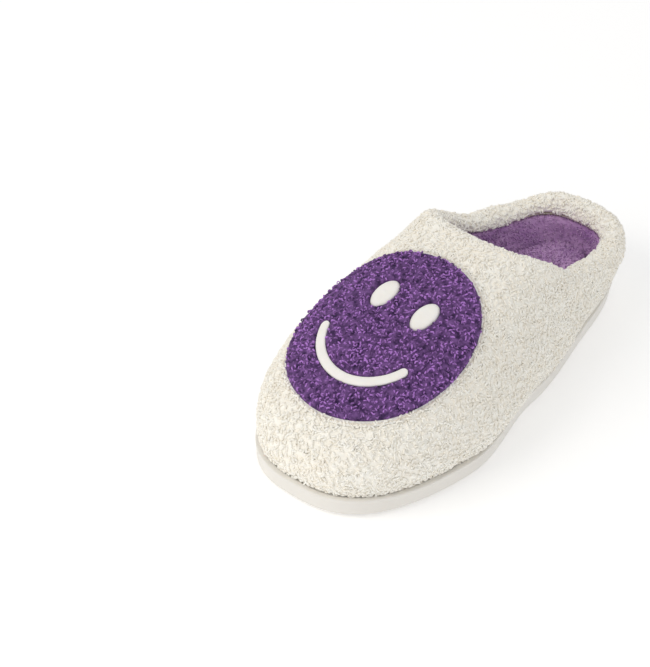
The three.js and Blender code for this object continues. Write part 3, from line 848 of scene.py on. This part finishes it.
@dataclass
class MotifPatch:
    """The patch: felt backing, looped chenille pile, and white felt eyes and mouth let into it."""

    wardrobe: Wardrobe
    map: PatchMap = field(default_factory=PatchMap)
    design: FaceDesign = field(default_factory=FaceDesign)
    backing_lift: tuple = (0.8, 1.5)
    pile_lift: tuple = (2.0, 3.6)
    inlay_lift: tuple = (2.3, 4.3)
    yarn: Yarn = field(default_factory=lambda: Yarn((0.6, 0.85), (0.38, 0.5), (200, 320), 0.1, 0.5, 5))
    loop_spacing: float = 1.5

    def build(self) -> None:
        """Makes and dresses every piece of the patch."""
        rng = np.random.default_rng(SEED)
        self._backing()
        self._pile(rng)
        for name, side in (("motif_felt_eye_left", 1), ("motif_felt_eye_right", -1)):
            self._eye(name, side)
        self._mouth()
        self._edge_stitches()

    def _pad(
        self, name: str, radii: Array, sectors: int, lift: Callable, tone: float = 0.4
    ) -> bpy.types.Object:
        """A closed round pad on rings of the given radii: lift(u, v) is its top, its lower face is flat.

        Args:
            name: the piece's name.
            radii: rings from nearly 0 to the rim.
            sectors: points round each ring.
            lift: gives (bottom, top) lifts for arrays of u and v.
            tone: the whole pad's tone.

        Returns:
            The piece: rings up the top face, round the rim and back along the lower face.
        """
        angle = np.linspace(0, 2 * np.pi, sectors, endpoint=False)
        r = np.concatenate([radii, radii[::-1]])[:, None]
        u, v = r * np.cos(angle), r * np.sin(angle)
        bottom, top = lift(u, v)
        top_rows = (np.arange(len(r)) < len(radii))[:, None]
        points = self.map.place(u, v, np.where(top_rows, top, bottom))
        faces = grid_faces(len(r), sectors, True)
        faces += [list(range(sectors))[::-1], [(len(r) - 1) * sectors + i for i in range(sectors)]]
        return facing_out(make_piece(name, points.reshape(-1, 3), faces, np.full(points[..., 0].size, tone)))

    def _backing(self) -> None:
        """The felt disc under the pile, a little wavy at its cut rim."""
        rim = self.design.radius + self.design.margin
        radii = np.concatenate([np.linspace(0.5, rim - 1.0, 30), rim - np.array([0.6, 0.25, 0.0])])

        def lift(u: Array, v: Array) -> tuple:
            """Flat faces, rounded off at the rim."""
            soft = 0.35 * smooth((np.hypot(u, v) - rim + 0.7) / 0.7)
            wave = 0.15 * swell(np.stack([u, v, 0 * u], axis=-1), 7.0, 3)
            return self.backing_lift[0] + soft + wave, self.backing_lift[1] + 0.25 - soft + wave

        piece = self._pad("motif_felt_backing", radii, 220, lift)
        self.wardrobe.place(piece, FELT, "white_felt", ["motif_backing"])

    def _pile(self, rng: np.random.Generator) -> None:
        """The chenille ground, sunk under the eyes and mouth, and the loops that stand on it."""
        radius = self.design.radius

        def lift(u: Array, v: Array) -> tuple:
            """Lumpy top that dips to the backing inside the eyes and mouth and rounds down at the rim."""
            low, high = self.pile_lift
            flat = np.stack([u, v, np.zeros_like(u)], axis=-1)
            lumps = 0.75 * nubs(flat, 1.7, 11)
            edge = smooth((radius - np.hypot(u, v)) / 1.6)
            keep = smooth(-self.design.inside(u, v) / 0.5 + 0.2)
            return np.full_like(u, low - 0.25), low + (high - low + lumps) * edge * keep

        radii = np.concatenate([np.linspace(0.4, radius - 1.4, 78), radius - np.array([0.9, 0.4, 0.0])])
        # The ground gets the deepest tone: painted shade in the gaps between the loops.
        ground = self._pad("motif_chenille_ground", radii, 420, lift, 0.05)
        self.wardrobe.place(ground, CHENILLE, "mauve_chenille", ["motif_pile"])

        places, normals = self._loop_places(rng)
        loops = self.yarn.loops("motif_chenille_loops", places, normals, rng)
        self.wardrobe.place(loops, CHENILLE, "mauve_chenille")

    def _loop_places(self, rng: np.random.Generator) -> tuple[Array, Array]:
        """Even random places on the pile, clear of the eyes and mouth, with their outward directions."""
        reach = self.design.radius - 0.6
        line = np.arange(-reach, reach, self.loop_spacing)
        u, v = (grid.ravel() for grid in np.meshgrid(line, line))
        u = u + rng.uniform(-0.5, 0.5, u.size) * self.loop_spacing
        v = v + rng.uniform(-0.5, 0.5, v.size) * self.loop_spacing
        kept = (np.hypot(u, v) < reach) & (self.design.inside(u, v) < -0.55)
        u, v = u[kept], v[kept]
        top = self.pile_lift[1]
        edge = smooth((self.design.radius - np.hypot(u, v)) / 2.0)
        places = self.map.place(u, v, top - 1.3 * (1 - edge) + 0.3 * rng.normal(size=u.size))
        rim = np.stack([u, v], axis=-1) / self.design.radius
        above = self.map.place(u, v, np.full(u.size, top + 1.0))
        up = unit(above - self.map.place(u, v, np.full(u.size, top)))
        out = unit(self.map.place(u * 1.02, v * 1.02, top) - self.map.place(u, v, top))
        return places, unit(up + out * (0.8 * dot(rim, rim)[:, None] ** 6))

    def _eye(self, name: str, side: int) -> None:
        """One oval of felt with a low crown."""
        design = self.design
        share = np.concatenate([np.linspace(0.04, 0.85, 12), [0.92, 0.97, 1.0]])
        angle = np.linspace(0, 2 * np.pi, 72, endpoint=False)
        both = np.concatenate([share, share[::-1]])[:, None]
        u = side * design.eye_u + both * (design.eye_half_width - 0.1) * np.cos(angle)
        v = design.eye_v + both * (design.eye_half_height - 0.1) * np.sin(angle)
        crown = np.sqrt(np.maximum(1 - both**6, 0))
        low, high = self.inlay_lift
        top_rows = (np.arange(len(both)) < len(share))[:, None]
        rough = 0.12 * nubs(np.stack([u, v, 0 * u], axis=-1), 0.9, 5)
        lift = np.where(top_rows, low + (high - low - 0.3) * crown + rough, low + 0 * angle)
        points = self.map.place(u, v, lift).reshape(-1, 3)
        count = angle.size
        faces = grid_faces(len(both), count, True)
        faces += [list(range(count))[::-1], [(len(both) - 1) * count + i for i in range(count)]]
        piece = facing_out(make_piece(name, points, faces, np.full(len(points), 0.6)))
        self.wardrobe.place(piece, FELT, "white_felt", [name.replace("felt_", "")])

    def _mouth(self) -> None:
        """The mouth: a rounded section carried along the arc, narrowing in a half circle at each end."""
        design = self.design
        half = design.mouth_width / 2 - 0.1
        reach = design.mouth_half_angle * design.mouth_radius
        ends = np.sin(np.linspace(0.03, 1, 9) * np.pi / 2)
        s = np.concatenate([-reach - half * ends[::-1], np.linspace(-reach, reach, 80), reach + half * ends])
        taper = np.sqrt(1 - ends**2)
        width = np.concatenate([taper[::-1], np.ones(80), taper]) * half + 0.02
        turn = np.linspace(0, 2 * np.pi, 28, endpoint=False)
        across = powered(np.cos(turn), 0.6) * width[:, None]
        low, high = self.inlay_lift
        height = powered(np.sin(turn), 0.7) * (high - low) / 2
        fade = smooth(width / half * 1.6)[:, None]
        radius = design.mouth_radius + across
        angle = (s / design.mouth_radius)[:, None]
        u, v = radius * np.sin(angle), design.mouth_v - radius * np.cos(angle)
        rough = 0.12 * nubs(np.stack([u, v, 0 * u], axis=-1), 0.9, 6) * (height > 0)
        points = self.map.place(u, v, (low + high) / 2 - 0.1 + height * (0.6 + 0.4 * fade) + rough)
        faces = swept_faces(*points.shape[:2])
        piece = facing_out(make_piece("motif_felt_mouth", points.reshape(-1, 3), faces, np.full(u.size, 0.6)))
        self.wardrobe.place(piece, FELT, "white_felt", ["motif_mouth"])

    def _edge_stitches(self) -> None:
        """The twisted thread that holds the felt rim down."""
        radius = self.design.radius + self.design.margin / 2 + 0.15
        angle = np.linspace(0.01, 2 * np.pi - 0.01, 1300)
        sway = radius + 0.25 * np.sin(angle * 150)
        lift = self.backing_lift[1] + 0.5 + 0.2 * np.cos(angle * 150)
        path = self.map.place(sway * np.cos(angle), sway * np.sin(angle), lift)
        piece = two_ply("motif_edge_stitches", path, 0.3, 1.8)
        self.wardrobe.place(piece, THREAD, "seam_thread", ["motif_edge_thread"])


# ---- threads -------------------------------------------------------------------------------------


def two_ply(name: str, path: Array, radius: float, pitch: float) -> bpy.types.Object:
    """A thread of two strands twisted round each other along a path.

    Each strand is a tube whose middle circles the path once a pitch, half a turn from the other.

    Args:
        name: the piece's name.
        path: the thread's middle line, shape (n, 3).
        radius: the thread's outer radius.
        pitch: length of one turn.

    Returns:
        The piece: two closed tubes.
    """
    along = unit(np.gradient(path, axis=0))
    helper = unit(path - path.mean(axis=0) + np.array([0.0, 0.0, 7.0]))
    first = unit(np.cross(along, helper))
    second = np.cross(along, first)
    run = np.concatenate([[0.0], np.cumsum(np.linalg.norm(np.diff(path, axis=0), axis=-1))])
    corner = np.linspace(0, 2 * np.pi, 5, endpoint=False)
    points, faces = [], []
    for strand in (0.0, np.pi):
        twist = 2 * np.pi * run / pitch + strand
        spoke = np.cos(twist)[:, None] * first + np.sin(twist)[:, None] * second
        middle = path + spoke * radius / 2
        ring = np.cos(corner)[:, None] * first[:, None] + np.sin(corner)[:, None] * second[:, None]
        points.append((middle[:, None] + ring * radius * 0.52).reshape(-1, 3))
        start = len(faces) and len(path) * corner.size
        faces += [[i + start for i in face] for face in swept_faces(len(path), corner.size)]
    return facing_out(make_piece(name, np.concatenate(points), faces, np.full(2 * len(points[0]), 0.5)))


# ---- the fleece outer ----------------------------------------------------------------------------


@dataclass
class FleeceOuter:
    """The outer fabric: two panels of sherpa fleece whose backing rolls over the topline, and their curls."""

    wardrobe: Wardrobe
    patch: PatchMap = field(default_factory=PatchMap)
    clear_radius: float = 45.5
    rim_overlap: float = 2.2
    rim_lift: float = 0.9
    roll_depth: float = 6.0
    roll_outer: float = 6.0
    roll_inner: float = 2.6
    fabric: float = 3.4
    hem_rise: float = -2.2
    inner_leg: float = 1.4
    nub_size: float = 3.4
    nub_height: float = 1.0
    swell_size: float = 17.0
    swell_height: float = 0.6
    seam_dip: float = 0.7
    seam_reach: float = 2.2
    curl: Yarn = field(default_factory=Yarn)
    curl_spacing: float = 2.0
    most_in_a_piece: int = 4400

    def build(self) -> None:
        """Makes both panels and the curls that cover them."""
        rng = np.random.default_rng(SEED + 1)
        grounds = [
            self._panel("vamp_fleece", "vamp_outer", Panel.VAMP, 380, 150),
            self._panel("heel_fleece", "heel_outer", Panel.HEEL, 230, 64),
        ]
        spots = [scattered(ground, self.curl_spacing, rng) for ground in grounds]
        places, normals = (np.concatenate(parts) for parts in zip(*spots))
        clear = self._clear_of_patch(places) & (places[:, 2] > LAST.lip_height + 0.2)
        places, normals = places[clear], normals[clear]
        on_rim = ~self._clear_of_patch(places, self.rim_overlap)
        places = places + normals * (self.rim_lift * on_rim)[:, None]
        order = np.argsort(places[:, 1], kind="stable")
        for k, part in enumerate(np.array_split(order, math.ceil(len(order) / self.most_in_a_piece))):
            piece = self.curl.loops(f"fleece_curls_{k + 1}", places[part], normals[part], rng)
            self.wardrobe.place(piece, FLEECE, "cream_fleece")

    def _clear_of_patch(self, points: Array, extra: float = 0.0) -> Array:
        """True where a point isn't under the motif patch."""
        u, v, side = self.patch.flat(points)
        return (np.hypot(u, v) > self.clear_radius + extra) | (side < 0)

    def _section(self, levels: int) -> tuple[Profile, int]:
        """The fabric's closed section, and how many of its points are on the pile side.

        It goes up the outside, over the roll, across the inner leg's end and back down the inside.
        """
        t = even_shares(LAST.surface(np.zeros(200), np.linspace(0, 1, 200)), levels)
        over = np.linspace(0, np.pi, 26)[1:]
        under = np.linspace(np.pi, 0, 11)
        pile = (
            (0.0, [self.hem_rise, self.hem_rise / 2], 0.0),
            (t, 0.0, 0.0),
            (1.0, self.roll_outer * np.sin(over), self.roll_depth - self.roll_outer * np.cos(over)),
            (1.0, np.linspace(0, -self.inner_leg, 6)[1:], self.roll_depth + self.roll_outer),
        )
        inside = (
            (1.0, -self.inner_leg, self.roll_depth + self.roll_inner),
            (1.0, self.roll_inner * np.sin(under), self.roll_depth - self.roll_inner * np.cos(under)),
            (np.linspace(0.93, 0.0, 13), 0.0, self.fabric),
            (0.0, self.hem_rise, self.fabric),
        )
        return Profile.joined(*pile, *inside), 2 + levels + over.size + 5

    def _panel(self, name: str, node: str, panel: Panel, columns: int, levels: int) -> Array:
        """Makes one panel and returns its pile side as a grid of points, rings by levels."""
        section, pile = self._section(levels)
        phi = panel_angles(section, panel, 0.3, columns)
        points = LAST.laid(phi, section)
        face = points[:, :pile]
        normals = grid_normals(face)
        lumps = np.maximum(nubs(face, self.nub_size, 1), -0.2)
        height = self.nub_height * lumps + self.swell_height * swell(face, self.swell_size, 2)
        height += 0.4 * nubs(face, self.nub_size * 0.45, 4)
        height = np.where(self._clear_of_patch(face, -0.6), height, np.clip(height, -0.4, 0.4))
        rows = np.arange(pile)
        ends = smooth((rows - 1) / 5) * smooth((pile - 1 - rows) / 3)
        from_seam = np.linalg.norm(face - face[[0]], axis=-1), np.linalg.norm(face - face[[-1]], axis=-1)
        near = np.minimum(*from_seam)
        open_ = smooth(near / self.seam_reach)
        height = (height * open_ - self.seam_dip * (1 - open_)) * ends
        points[:, :pile] = face + normals * height[..., None]
        tone = np.full(points.shape[:2], 0.5)
        # Tone on the pile side is painted shade: lowest, so deeper and warmer, in the hollows between lumps
        # and near the seams, highest on the lumps' tops.
        tone[:, :pile] = np.clip(0.15 + 0.9 * lumps * open_, 0, 1)
        piece = make_piece(name, points.reshape(-1, 3), swept_faces(*points.shape[:2]), tone.ravel())
        self.wardrobe.place(facing_out(piece), FLEECE, "cream_fleece", [node])
        return points[:, :pile]


# ---- the plush lining and footbed ----------------------------------------------------------------


@dataclass
class PlushLining:
    """The lining: two panels of short plush down the inside of the wall, with its brushed tufts."""

    wardrobe: Wardrobe
    depth: float = 12.0
    nap: CutPile = field(default_factory=CutPile)
    spacing: float = 1.5

    def build(self) -> None:
        """Makes both panels and the tufts on what shows of them."""
        rng = np.random.default_rng(SEED + 2)
        for name, node, panel, columns, levels, lowest in (
            ("vamp_plush", "vamp_lining", Panel.VAMP, 250, 110, 0.42),
            ("heel_plush", "heel_lining", Panel.HEEL, 190, 40, 0.0),
        ):
            face = self._panel(name, node, panel, columns, levels, lowest)
            places, normals = scattered(face, self.spacing, rng)
            tufts = self.nap.tufts(name + "_nap", places, -normals, rng)
            self.wardrobe.place(tufts, PLUSH, "purple_plush")

    def _panel(self, name: str, node: str, panel: Panel, columns: int, levels: int, lowest: float) -> Array:
        """Makes one panel and returns its pile side from t = lowest up, with the turn at its top edge."""
        t = np.linspace(0, 1, levels)
        round_ = np.linspace(0, np.pi, 7)[1:-1]
        half = (self.depth - LAST.lining_start) / 2
        section = Profile.joined(
            (0.0, -2.2, self.depth),
            (t[:-1], 0.0, self.depth),
            (1.0, 0.0, self.depth),
            (1.0, 1.2 * np.sin(round_), LAST.lining_start + half + half * np.cos(round_)),
            (1.0, 0.0, LAST.lining_start),
            (np.linspace(0.9, 0, 12), 0.0, LAST.lining_start),
            (0.0, -2.2, LAST.lining_start),
        )
        pile = levels + 1
        phi = panel_angles(section, panel, 0.3, columns)
        points = LAST.laid(phi, section, LAST.lining_top - 1.2)
        face = points[:, :pile]
        rows = np.arange(pile)
        height = 0.55 * nubs(face, 2.4, 7) + 0.35 * swell(face, 11.0, 8)
        height = height * smooth(rows / 4) * smooth((pile - 1 - rows) / 3)
        points[:, :pile] = face - grid_normals(face) * height[..., None]
        tone = np.clip(0.35 + 0.4 * swell(points, 9.0, 12), 0, 1).ravel()
        piece = make_piece(name, points.reshape(-1, 3), swept_faces(*points.shape[:2]), tone)
        self.wardrobe.place(facing_out(piece), PLUSH, "purple_plush", [node])
        return points[:, int(lowest * levels) + 1:pile + 4]


@dataclass
class PlushFootbed:
    """The footbed foam's plush cover: a shallow pillow, swelled by a short cloth run, its rim held."""

    wardrobe: Wardrobe
    offset: float = -15.7
    shoulder: float = -16.7
    bottom: float = 9.6
    top: float = 18.5
    skin: float = 3.0
    sectors: int = 260
    rings: int = 64
    most_swell: float = 1.5
    nap: CutPile = field(default_factory=lambda: CutPile((1.2, 2.0), 0.5, 0.7))
    spacing: float = 1.3

    def build(self) -> None:
        """Makes the cover and its tufts."""
        rng = np.random.default_rng(SEED + 3)
        phi = np.linspace(0, 2 * np.pi, self.sectors, endpoint=False)
        share = np.linspace(0.015, 1.0, self.rings)
        face = self._disc(phi, share, self.shoulder, self.top)
        face[..., 2] += self._swelled(phi, share)
        fluff = 0.5 * nubs(face, 2.6, 9) + 0.45 * swell(face, 13.0, 10)
        face[..., 2] += fluff * smooth((1 - share) / 0.06)[:, None]
        rim = [self._ring(phi, self.shoulder + 1.0 * np.sin(a), self.top - 1 + np.cos(a))
               for a in np.linspace(0, np.pi / 2, 6)[1:]]
        rim += [self._ring(phi, self.offset, z) for z in (14.5, 12.0, self.bottom)]
        rim += [self._ring(phi, self.offset - self.skin, z) for z in (self.bottom, self.top - self.skin)]
        under = self._disc(phi, np.linspace(0.95, 0.015, 8), self.offset - self.skin, self.top - self.skin)
        points = np.concatenate([face, np.stack(rim), under])
        tone = np.clip(0.35 + 0.4 * swell(points, 9.0, 12), 0, 1).ravel()
        faces = swept_faces(*points.shape[:2])
        piece = facing_out(make_piece("footbed_plush", points.reshape(-1, 3), faces, tone))
        self.wardrobe.place(piece, PLUSH, "purple_plush", ["footbed_cover"])
        closed = np.concatenate([face, face[:, :1]], axis=1)
        places, normals = scattered(closed, self.spacing, rng)
        normals = normals * np.sign(normals[:, 2:])
        tufts = self.nap.tufts("footbed_plush_nap", places, normals, rng)
        self.wardrobe.place(tufts, PLUSH, "purple_plush")

    def _ring(self, phi: Array, offset: float, z: float) -> Array:
        """The outline moved by offset, at height z."""
        flat = LAST.outline(phi, np.full(phi.shape, offset))
        return np.concatenate([flat, np.full(phi.shape + (1,), z)], axis=-1)

    def _disc(self, phi: Array, share: Array, offset: float, z: float) -> Array:
        """Rings of the outline drawn in towards its middle by each share."""
        ring = self._ring(phi, offset, z)
        middle = np.array([2.0, 0.0, z])
        return middle + (ring - middle) * share[:, None, None]

    def _swelled(self, phi: Array, share: Array) -> Array:
        """How far the cover rises at each ring and sector.

        A coarse disc with its rim pinned is blown up by the Cloth modifier with gravity off for 20 frames,
        its rise is capped, and it is read back and spread over the fine grid in straight lines.
        """
        around, inward = 96, 16
        coarse_phi = np.linspace(0, 2 * np.pi, around, endpoint=False)
        coarse_share = np.linspace(0.06, 1.0, inward)
        grid = self._disc(coarse_phi, coarse_share, self.shoulder, self.top)
        faces = grid_faces(inward, around, True) + [list(range(around))[::-1]]
        pad = make_piece("footbed_blank", grid.reshape(-1, 3), faces)
        held = pad.vertex_groups.new(name="rim")
        held.add([int(i) for i in np.arange((inward - 1) * around, inward * around)], 1.0, "ADD")
        cloth = pad.modifiers.new("swell", "CLOTH").settings
        cloth.quality, cloth.mass = 6, 0.3
        cloth.tension_stiffness = cloth.compression_stiffness = 15.0
        cloth.use_pressure, cloth.uniform_pressure_force = True, 4.0
        cloth.vertex_group_mass = "rim"
        cloth.effector_weights.gravity = 0.0
        scene = bpy.context.scene
        for number in range(1, 21):
            scene.frame_set(number)
        graph = bpy.context.evaluated_depsgraph_get()
        done = pad.evaluated_get(graph).to_mesh()
        heights = np.empty(len(done.vertices) * 3)
        done.vertices.foreach_get("co", heights)
        rise = heights.reshape(-1, 3)[:, 2].reshape(inward, around) / MM - ORIGIN[2] - self.top
        scene.frame_set(1)
        bpy.data.meshes.remove(pad.data)
        rise = np.abs(np.nan_to_num(rise))
        rise = self.most_swell * np.tanh(rise / self.most_swell)
        log.info("footbed swelled by up to %.2f mm", float(rise.max()))
        wrapped = np.concatenate([rise, rise[:, :1]], axis=1)
        loop = np.linspace(0, 2 * np.pi, around + 1)
        by_phi = np.stack([np.interp(phi, loop, row) for row in wrapped])
        return np.stack([np.interp(share, coarse_share, column) for column in by_phi.T], axis=1)


# ---- the sole and the sewing ---------------------------------------------------------------------


@dataclass
class MouldedSole:
    """The one-piece rubber sole: a rounded ground edge, a bead at the lip, a tray and a grooved tread."""

    wardrobe: Wardrobe
    lift: float = 4.0
    toe_lift: float = 4.0
    edge: float = 3.2
    tray: float = 7.8
    groove_width: float = 3.0
    groove_depth: float = 1.5
    groove_pitch: float = 14.0
    groove_margin: float = 12.0
    groove_bow: float = 7.0
    sectors: int = 420

    def build(self) -> None:
        """Makes the sole and cuts its tread."""
        phi = np.linspace(0, 2 * np.pi, self.sectors, endpoint=False)
        back = self.lift + self.toe_lift * smooth((np.cos(phi) - 0.2) / 0.8)
        spring = [(1.0, 0.0), (0.78, 0.06), (0.58, 0.3), (0.4, 0.7), (0.25, 1.25), (0.12, 2.0), (0.04, 2.7)]
        rows = [self._ring(phi, -share * back, z) for share, z in spring]
        bead, lip = LAST.lip_bead, LAST.lip_height
        rows += [self._ring(phi, np.full(phi.shape, offset), z) for offset, z in (
            (0.0, self.edge), (0.0, 5.4), (0.0, lip - 2.5), (0.08, lip - 2.1), (0.3, lip - 1.78),
            (0.55, lip - 1.55), (bead, lip - 1.2), (bead, lip - 0.65), (0.6, lip - 0.3), (0.35, lip - 0.07),
            (0.0, lip), (-1.2, lip), (-2.1, lip - 0.02), (-2.4, lip - 0.2), (-LAST.lip_width, lip - 0.5),
            (-LAST.lip_width, lip - 2.4), (-LAST.lip_width, self.tray + 0.3), (-2.9, self.tray),
        )]
        points = np.stack(rows)
        faces = swept_faces(*points.shape[:2])
        piece = facing_out(make_piece("moulded_sole", points.reshape(-1, 3), faces))
        self._cut_tread(piece)
        piece.data.set_sharp_from_angle(angle=math.radians(40))
        self.wardrobe.place(piece, RUBBER, "outsole_rubber", ["outsole"])

    def _ring(self, phi: Array, offset: Array, z: float) -> Array:
        """The outline moved by offset, at height z."""
        return np.concatenate([LAST.outline(phi, offset), np.full(phi.shape + (1,), z)], axis=-1)

    def _cut_tread(self, piece: bpy.types.Object) -> None:
        """Takes the bowed grooves out of the ground face, each kept in from the sole's edge by a margin."""
        points, faces = [], []
        reach = LAST.half_length - self.groove_margin - self.groove_width
        middles = np.arange(self.groove_pitch / 2, reach, self.groove_pitch)
        for middle in np.concatenate([-middles[::-1], middles]):
            low, high = self._groove_ends(middle)
            x = np.linspace(low, high, 24)
            y = middle - self.groove_bow * (x / 50) ** 2
            half, depth = self.groove_width / 2, self.groove_depth
            section = np.array([
                (-half, -1.0), (-half, depth - 0.5), (-half + 0.5, depth),
                (half - 0.5, depth), (half, depth - 0.5), (half, -1.0),
            ])
            rows = np.broadcast_arrays(x[:, None], y[:, None] + section[:, 0], section[:, 1])
            run = np.stack(rows, axis=-1)
            start = sum(len(part) for part in points)
            points.append(run.reshape(-1, 3))
            faces += [[i + start for i in face] for face in swept_faces(*run.shape[:2])]
        cutter = facing_out(make_piece("tread_cutter", np.concatenate(points), faces))
        cut = piece.modifiers.new("tread", "BOOLEAN")
        cut.operation, cut.solver, cut.object = "DIFFERENCE", "EXACT", cutter
        graph = bpy.context.evaluated_depsgraph_get()
        done = bpy.data.meshes.new_from_object(piece.evaluated_get(graph))
        piece.modifiers.clear()
        piece.data = done
        piece.data.name = "moulded_sole"
        bpy.data.meshes.remove(cutter.data)

    def _groove_ends(self, middle: float) -> Array:
        """The lowest and highest x of a groove's bowed line inside the outline drawn in by the margin."""
        phi = np.linspace(0, 2 * np.pi, 1440, endpoint=False)
        edge = LAST.outline(phi, np.full(phi.shape, -self.groove_margin))
        past = edge[:, 1] - (middle - self.groove_bow * (edge[:, 0] / 50) ** 2)
        crossing = np.nonzero(past * np.roll(past, -1) <= 0)[0]
        return np.array([edge[crossing, 0].min(), edge[crossing, 0].max()])


@dataclass
class Sewing:
    """The twisted threads: round the topline, and up both side seams."""

    wardrobe: Wardrobe
    pitch: float = 2.2

    def build(self) -> None:
        """Makes the three threads."""
        phi = np.linspace(0.004, 2 * np.pi - 0.004, 1500)
        wave = 0.12 * np.sin(phi * 110)
        middle = Profile.joined((np.ones(phi.size), -2.6 + wave, 10.9))
        path = LAST.laid(phi, middle)
        piece = two_ply("topline_stitching", path, 0.36, self.pitch)
        self.wardrobe.place(piece, THREAD, "seam_thread", ["topline_thread"])
        t = np.linspace(0.05, 0.96, 260)
        for name, side in (("outer", 1), ("inner", -1)):
            angle = LAST.seam_angle(t, 0 * t, 1.7 + 0 * t, LAST.seam_y, side)
            path = LAST.layer(angle, t, 0 * t, 1.7 + 0 * t)
            piece = two_ply(f"side_seam_stitching_{name}", path, 0.44, self.pitch)
            self.wardrobe.place(piece, THREAD, "seam_thread", [f"side_seam_thread_{name}"])


# ---- the studio ----------------------------------------------------------------------------------


@dataclass
class Studio:
    """A pale floor, white surroundings, soft lamps and the camera."""

    azimuth: float = 36.98
    elevation: float = 38.47
    roll: float = 3.28
    distance: float = 1003.33
    target: tuple = (64.12, -18.47)
    lens: float = 1929.89 * 36.0 / 667.0
    surround: float = 0.6
    floor_glow: float = 0.2

    def build(self) -> None:
        """Makes all of it."""
        self._floor()
        self._world()
        self._lamp("key", (-0.5, -1.0, 0.95), 0.9, 6.4, "#FFFBF4")
        self._lamp("fill", (0.9, -0.6, 0.8), 1.2, 1.5, "#F8F9FF")
        self._lamp("back", (-0.2, 0.9, 0.9), 1.0, 1.5, "#FFFFFF")
        self._camera()
        scene = bpy.context.scene
        scene.view_settings.view_transform = "Standard"
        scene.view_settings.look = "None"
        scene.view_settings.exposure = 0.0

    def _floor(self) -> None:
        """A large smooth pale sheet at z = 0."""
        line = np.linspace(-6000, 6000, 13)
        x, y = np.meshgrid(line, line, indexing="ij")
        points = np.stack([x, y, np.full_like(x, -ORIGIN[2])], axis=-1).reshape(-1, 3)
        floor = make_piece("floor", points, [face[::-1] for face in grid_faces(13, 13, False)])
        material, tree, output = new_material("pale_matt_floor")
        place = add_node(tree, "ShaderNodeTexCoord").outputs["Object"]
        cloud = add_node(tree, "ShaderNodeTexNoise", {"Vector": place}, Scale=2.0, Detail=1.0)
        ramp = add_node(tree, "ShaderNodeMix", {"Factor": cloud.outputs["Fac"]}, data_type="RGBA")
        ramp.inputs["A"].default_value = colour("#FBFBFB")
        ramp.inputs["B"].default_value = colour("#FDFDFD")
        shader = add_node(tree, "ShaderNodeBsdfPrincipled", {"Base Color": ramp.outputs["Result"]})
        shader.inputs["Roughness"].default_value = 0.9
        shader.inputs["Specular IOR Level"].default_value = 0.1
        shader.inputs["Emission Color"].default_value = (1.0, 1.0, 1.0, 1.0)
        shader.inputs["Emission Strength"].default_value = self.floor_glow
        tree.links.new(shader.outputs[0], output.inputs["Surface"])
        floor.data.materials.append(material)

    def _world(self) -> None:
        """An even white surround."""
        world = bpy.data.worlds.new("white_surround")
        world.use_nodes = True
        background = world.node_tree.nodes["Background"]
        background.inputs["Color"].default_value = (1, 1, 1, 1)
        background.inputs["Strength"].default_value = self.surround
        bpy.context.scene.world = world

    def _lamp(self, name: str, place: tuple, size: float, power: float, tint: str) -> None:
        """A square area lamp that points at the slipper."""
        data = bpy.data.lights.new(name, "AREA")
        data.shape, data.size, data.energy = "SQUARE", size, power
        data.color = colour(tint)[:3]
        lamp = bpy.data.objects.new(name, data)
        back = unit(np.array(place) - np.array([0, 0, 0.04]))
        right = unit(np.cross([0.0, 0.0, 1.0], back))
        lamp.matrix_world = frame_matrix(right, np.cross(back, right), back, np.array(place))
        bpy.context.scene.collection.objects.link(lamp)

    def _camera(self) -> None:
        """The camera: aimed so that the last's origin falls beside the picture's middle by the target."""
        a, e, r = (math.radians(v) for v in (self.azimuth, self.elevation, self.roll))
        back = np.array([math.sin(a) * math.cos(e), -math.cos(a) * math.cos(e), math.sin(e)])
        level = np.array([math.cos(a), math.sin(a), 0.0])
        rising = np.cross(back, level)
        right = math.cos(r) * level + math.sin(r) * rising
        up = -math.sin(r) * level + math.cos(r) * rising
        eye = back * self.distance - right * self.target[0] - up * self.target[1] + ORIGIN
        data = bpy.data.cameras.new("camera")
        data.lens, data.sensor_width, data.clip_start, data.clip_end = self.lens, 36.0, 0.05, 50.0
        camera = bpy.data.objects.new("camera", data)
        camera.matrix_world = frame_matrix(right, up, back, eye * MM)
        bpy.context.scene.collection.objects.link(camera)
        bpy.context.scene.camera = camera


def frame_matrix(right: Array, up: Array, back: Array, place: Array) -> Matrix:
    """The matrix whose axes are right, up and back, at a place in metres."""
    rows = np.eye(4)
    rows[:3, :4] = np.stack([right, up, back, place], axis=-1)
    return Matrix(rows.tolist())


# ---- putting it together -------------------------------------------------------------------------

# Frame nodes that stay as they are, with the finish that each gets.
KEPT_NODES = {
    "strobel_sock": BOARD,
    "strobel_thread": THREAD,
    "footbed_foam": FOAM,
    "vamp_foam": FOAM,
    "heel_foam": FOAM,
    "heel_counter": BOARD,
}


def main() -> None:
    """Builds the slipper, its finishes and the studio."""
    logging.basicConfig(level=logging.INFO, format="%(name)s: %(message)s")
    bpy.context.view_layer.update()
    wardrobe = Wardrobe()
    Studio().build()
    for part in (MouldedSole(wardrobe), FleeceOuter(wardrobe), PlushLining(wardrobe), PlushFootbed(wardrobe),
                 MotifPatch(wardrobe), Sewing(wardrobe)):
        part.build()
        log.info("%s is done", type(part).__name__)
    for name, finish in KEPT_NODES.items():
        wardrobe.dress(bpy.data.objects[name], finish)
        log.info("%s: kept, %s", name, finish.name)


if __name__ == "__main__":
    main()
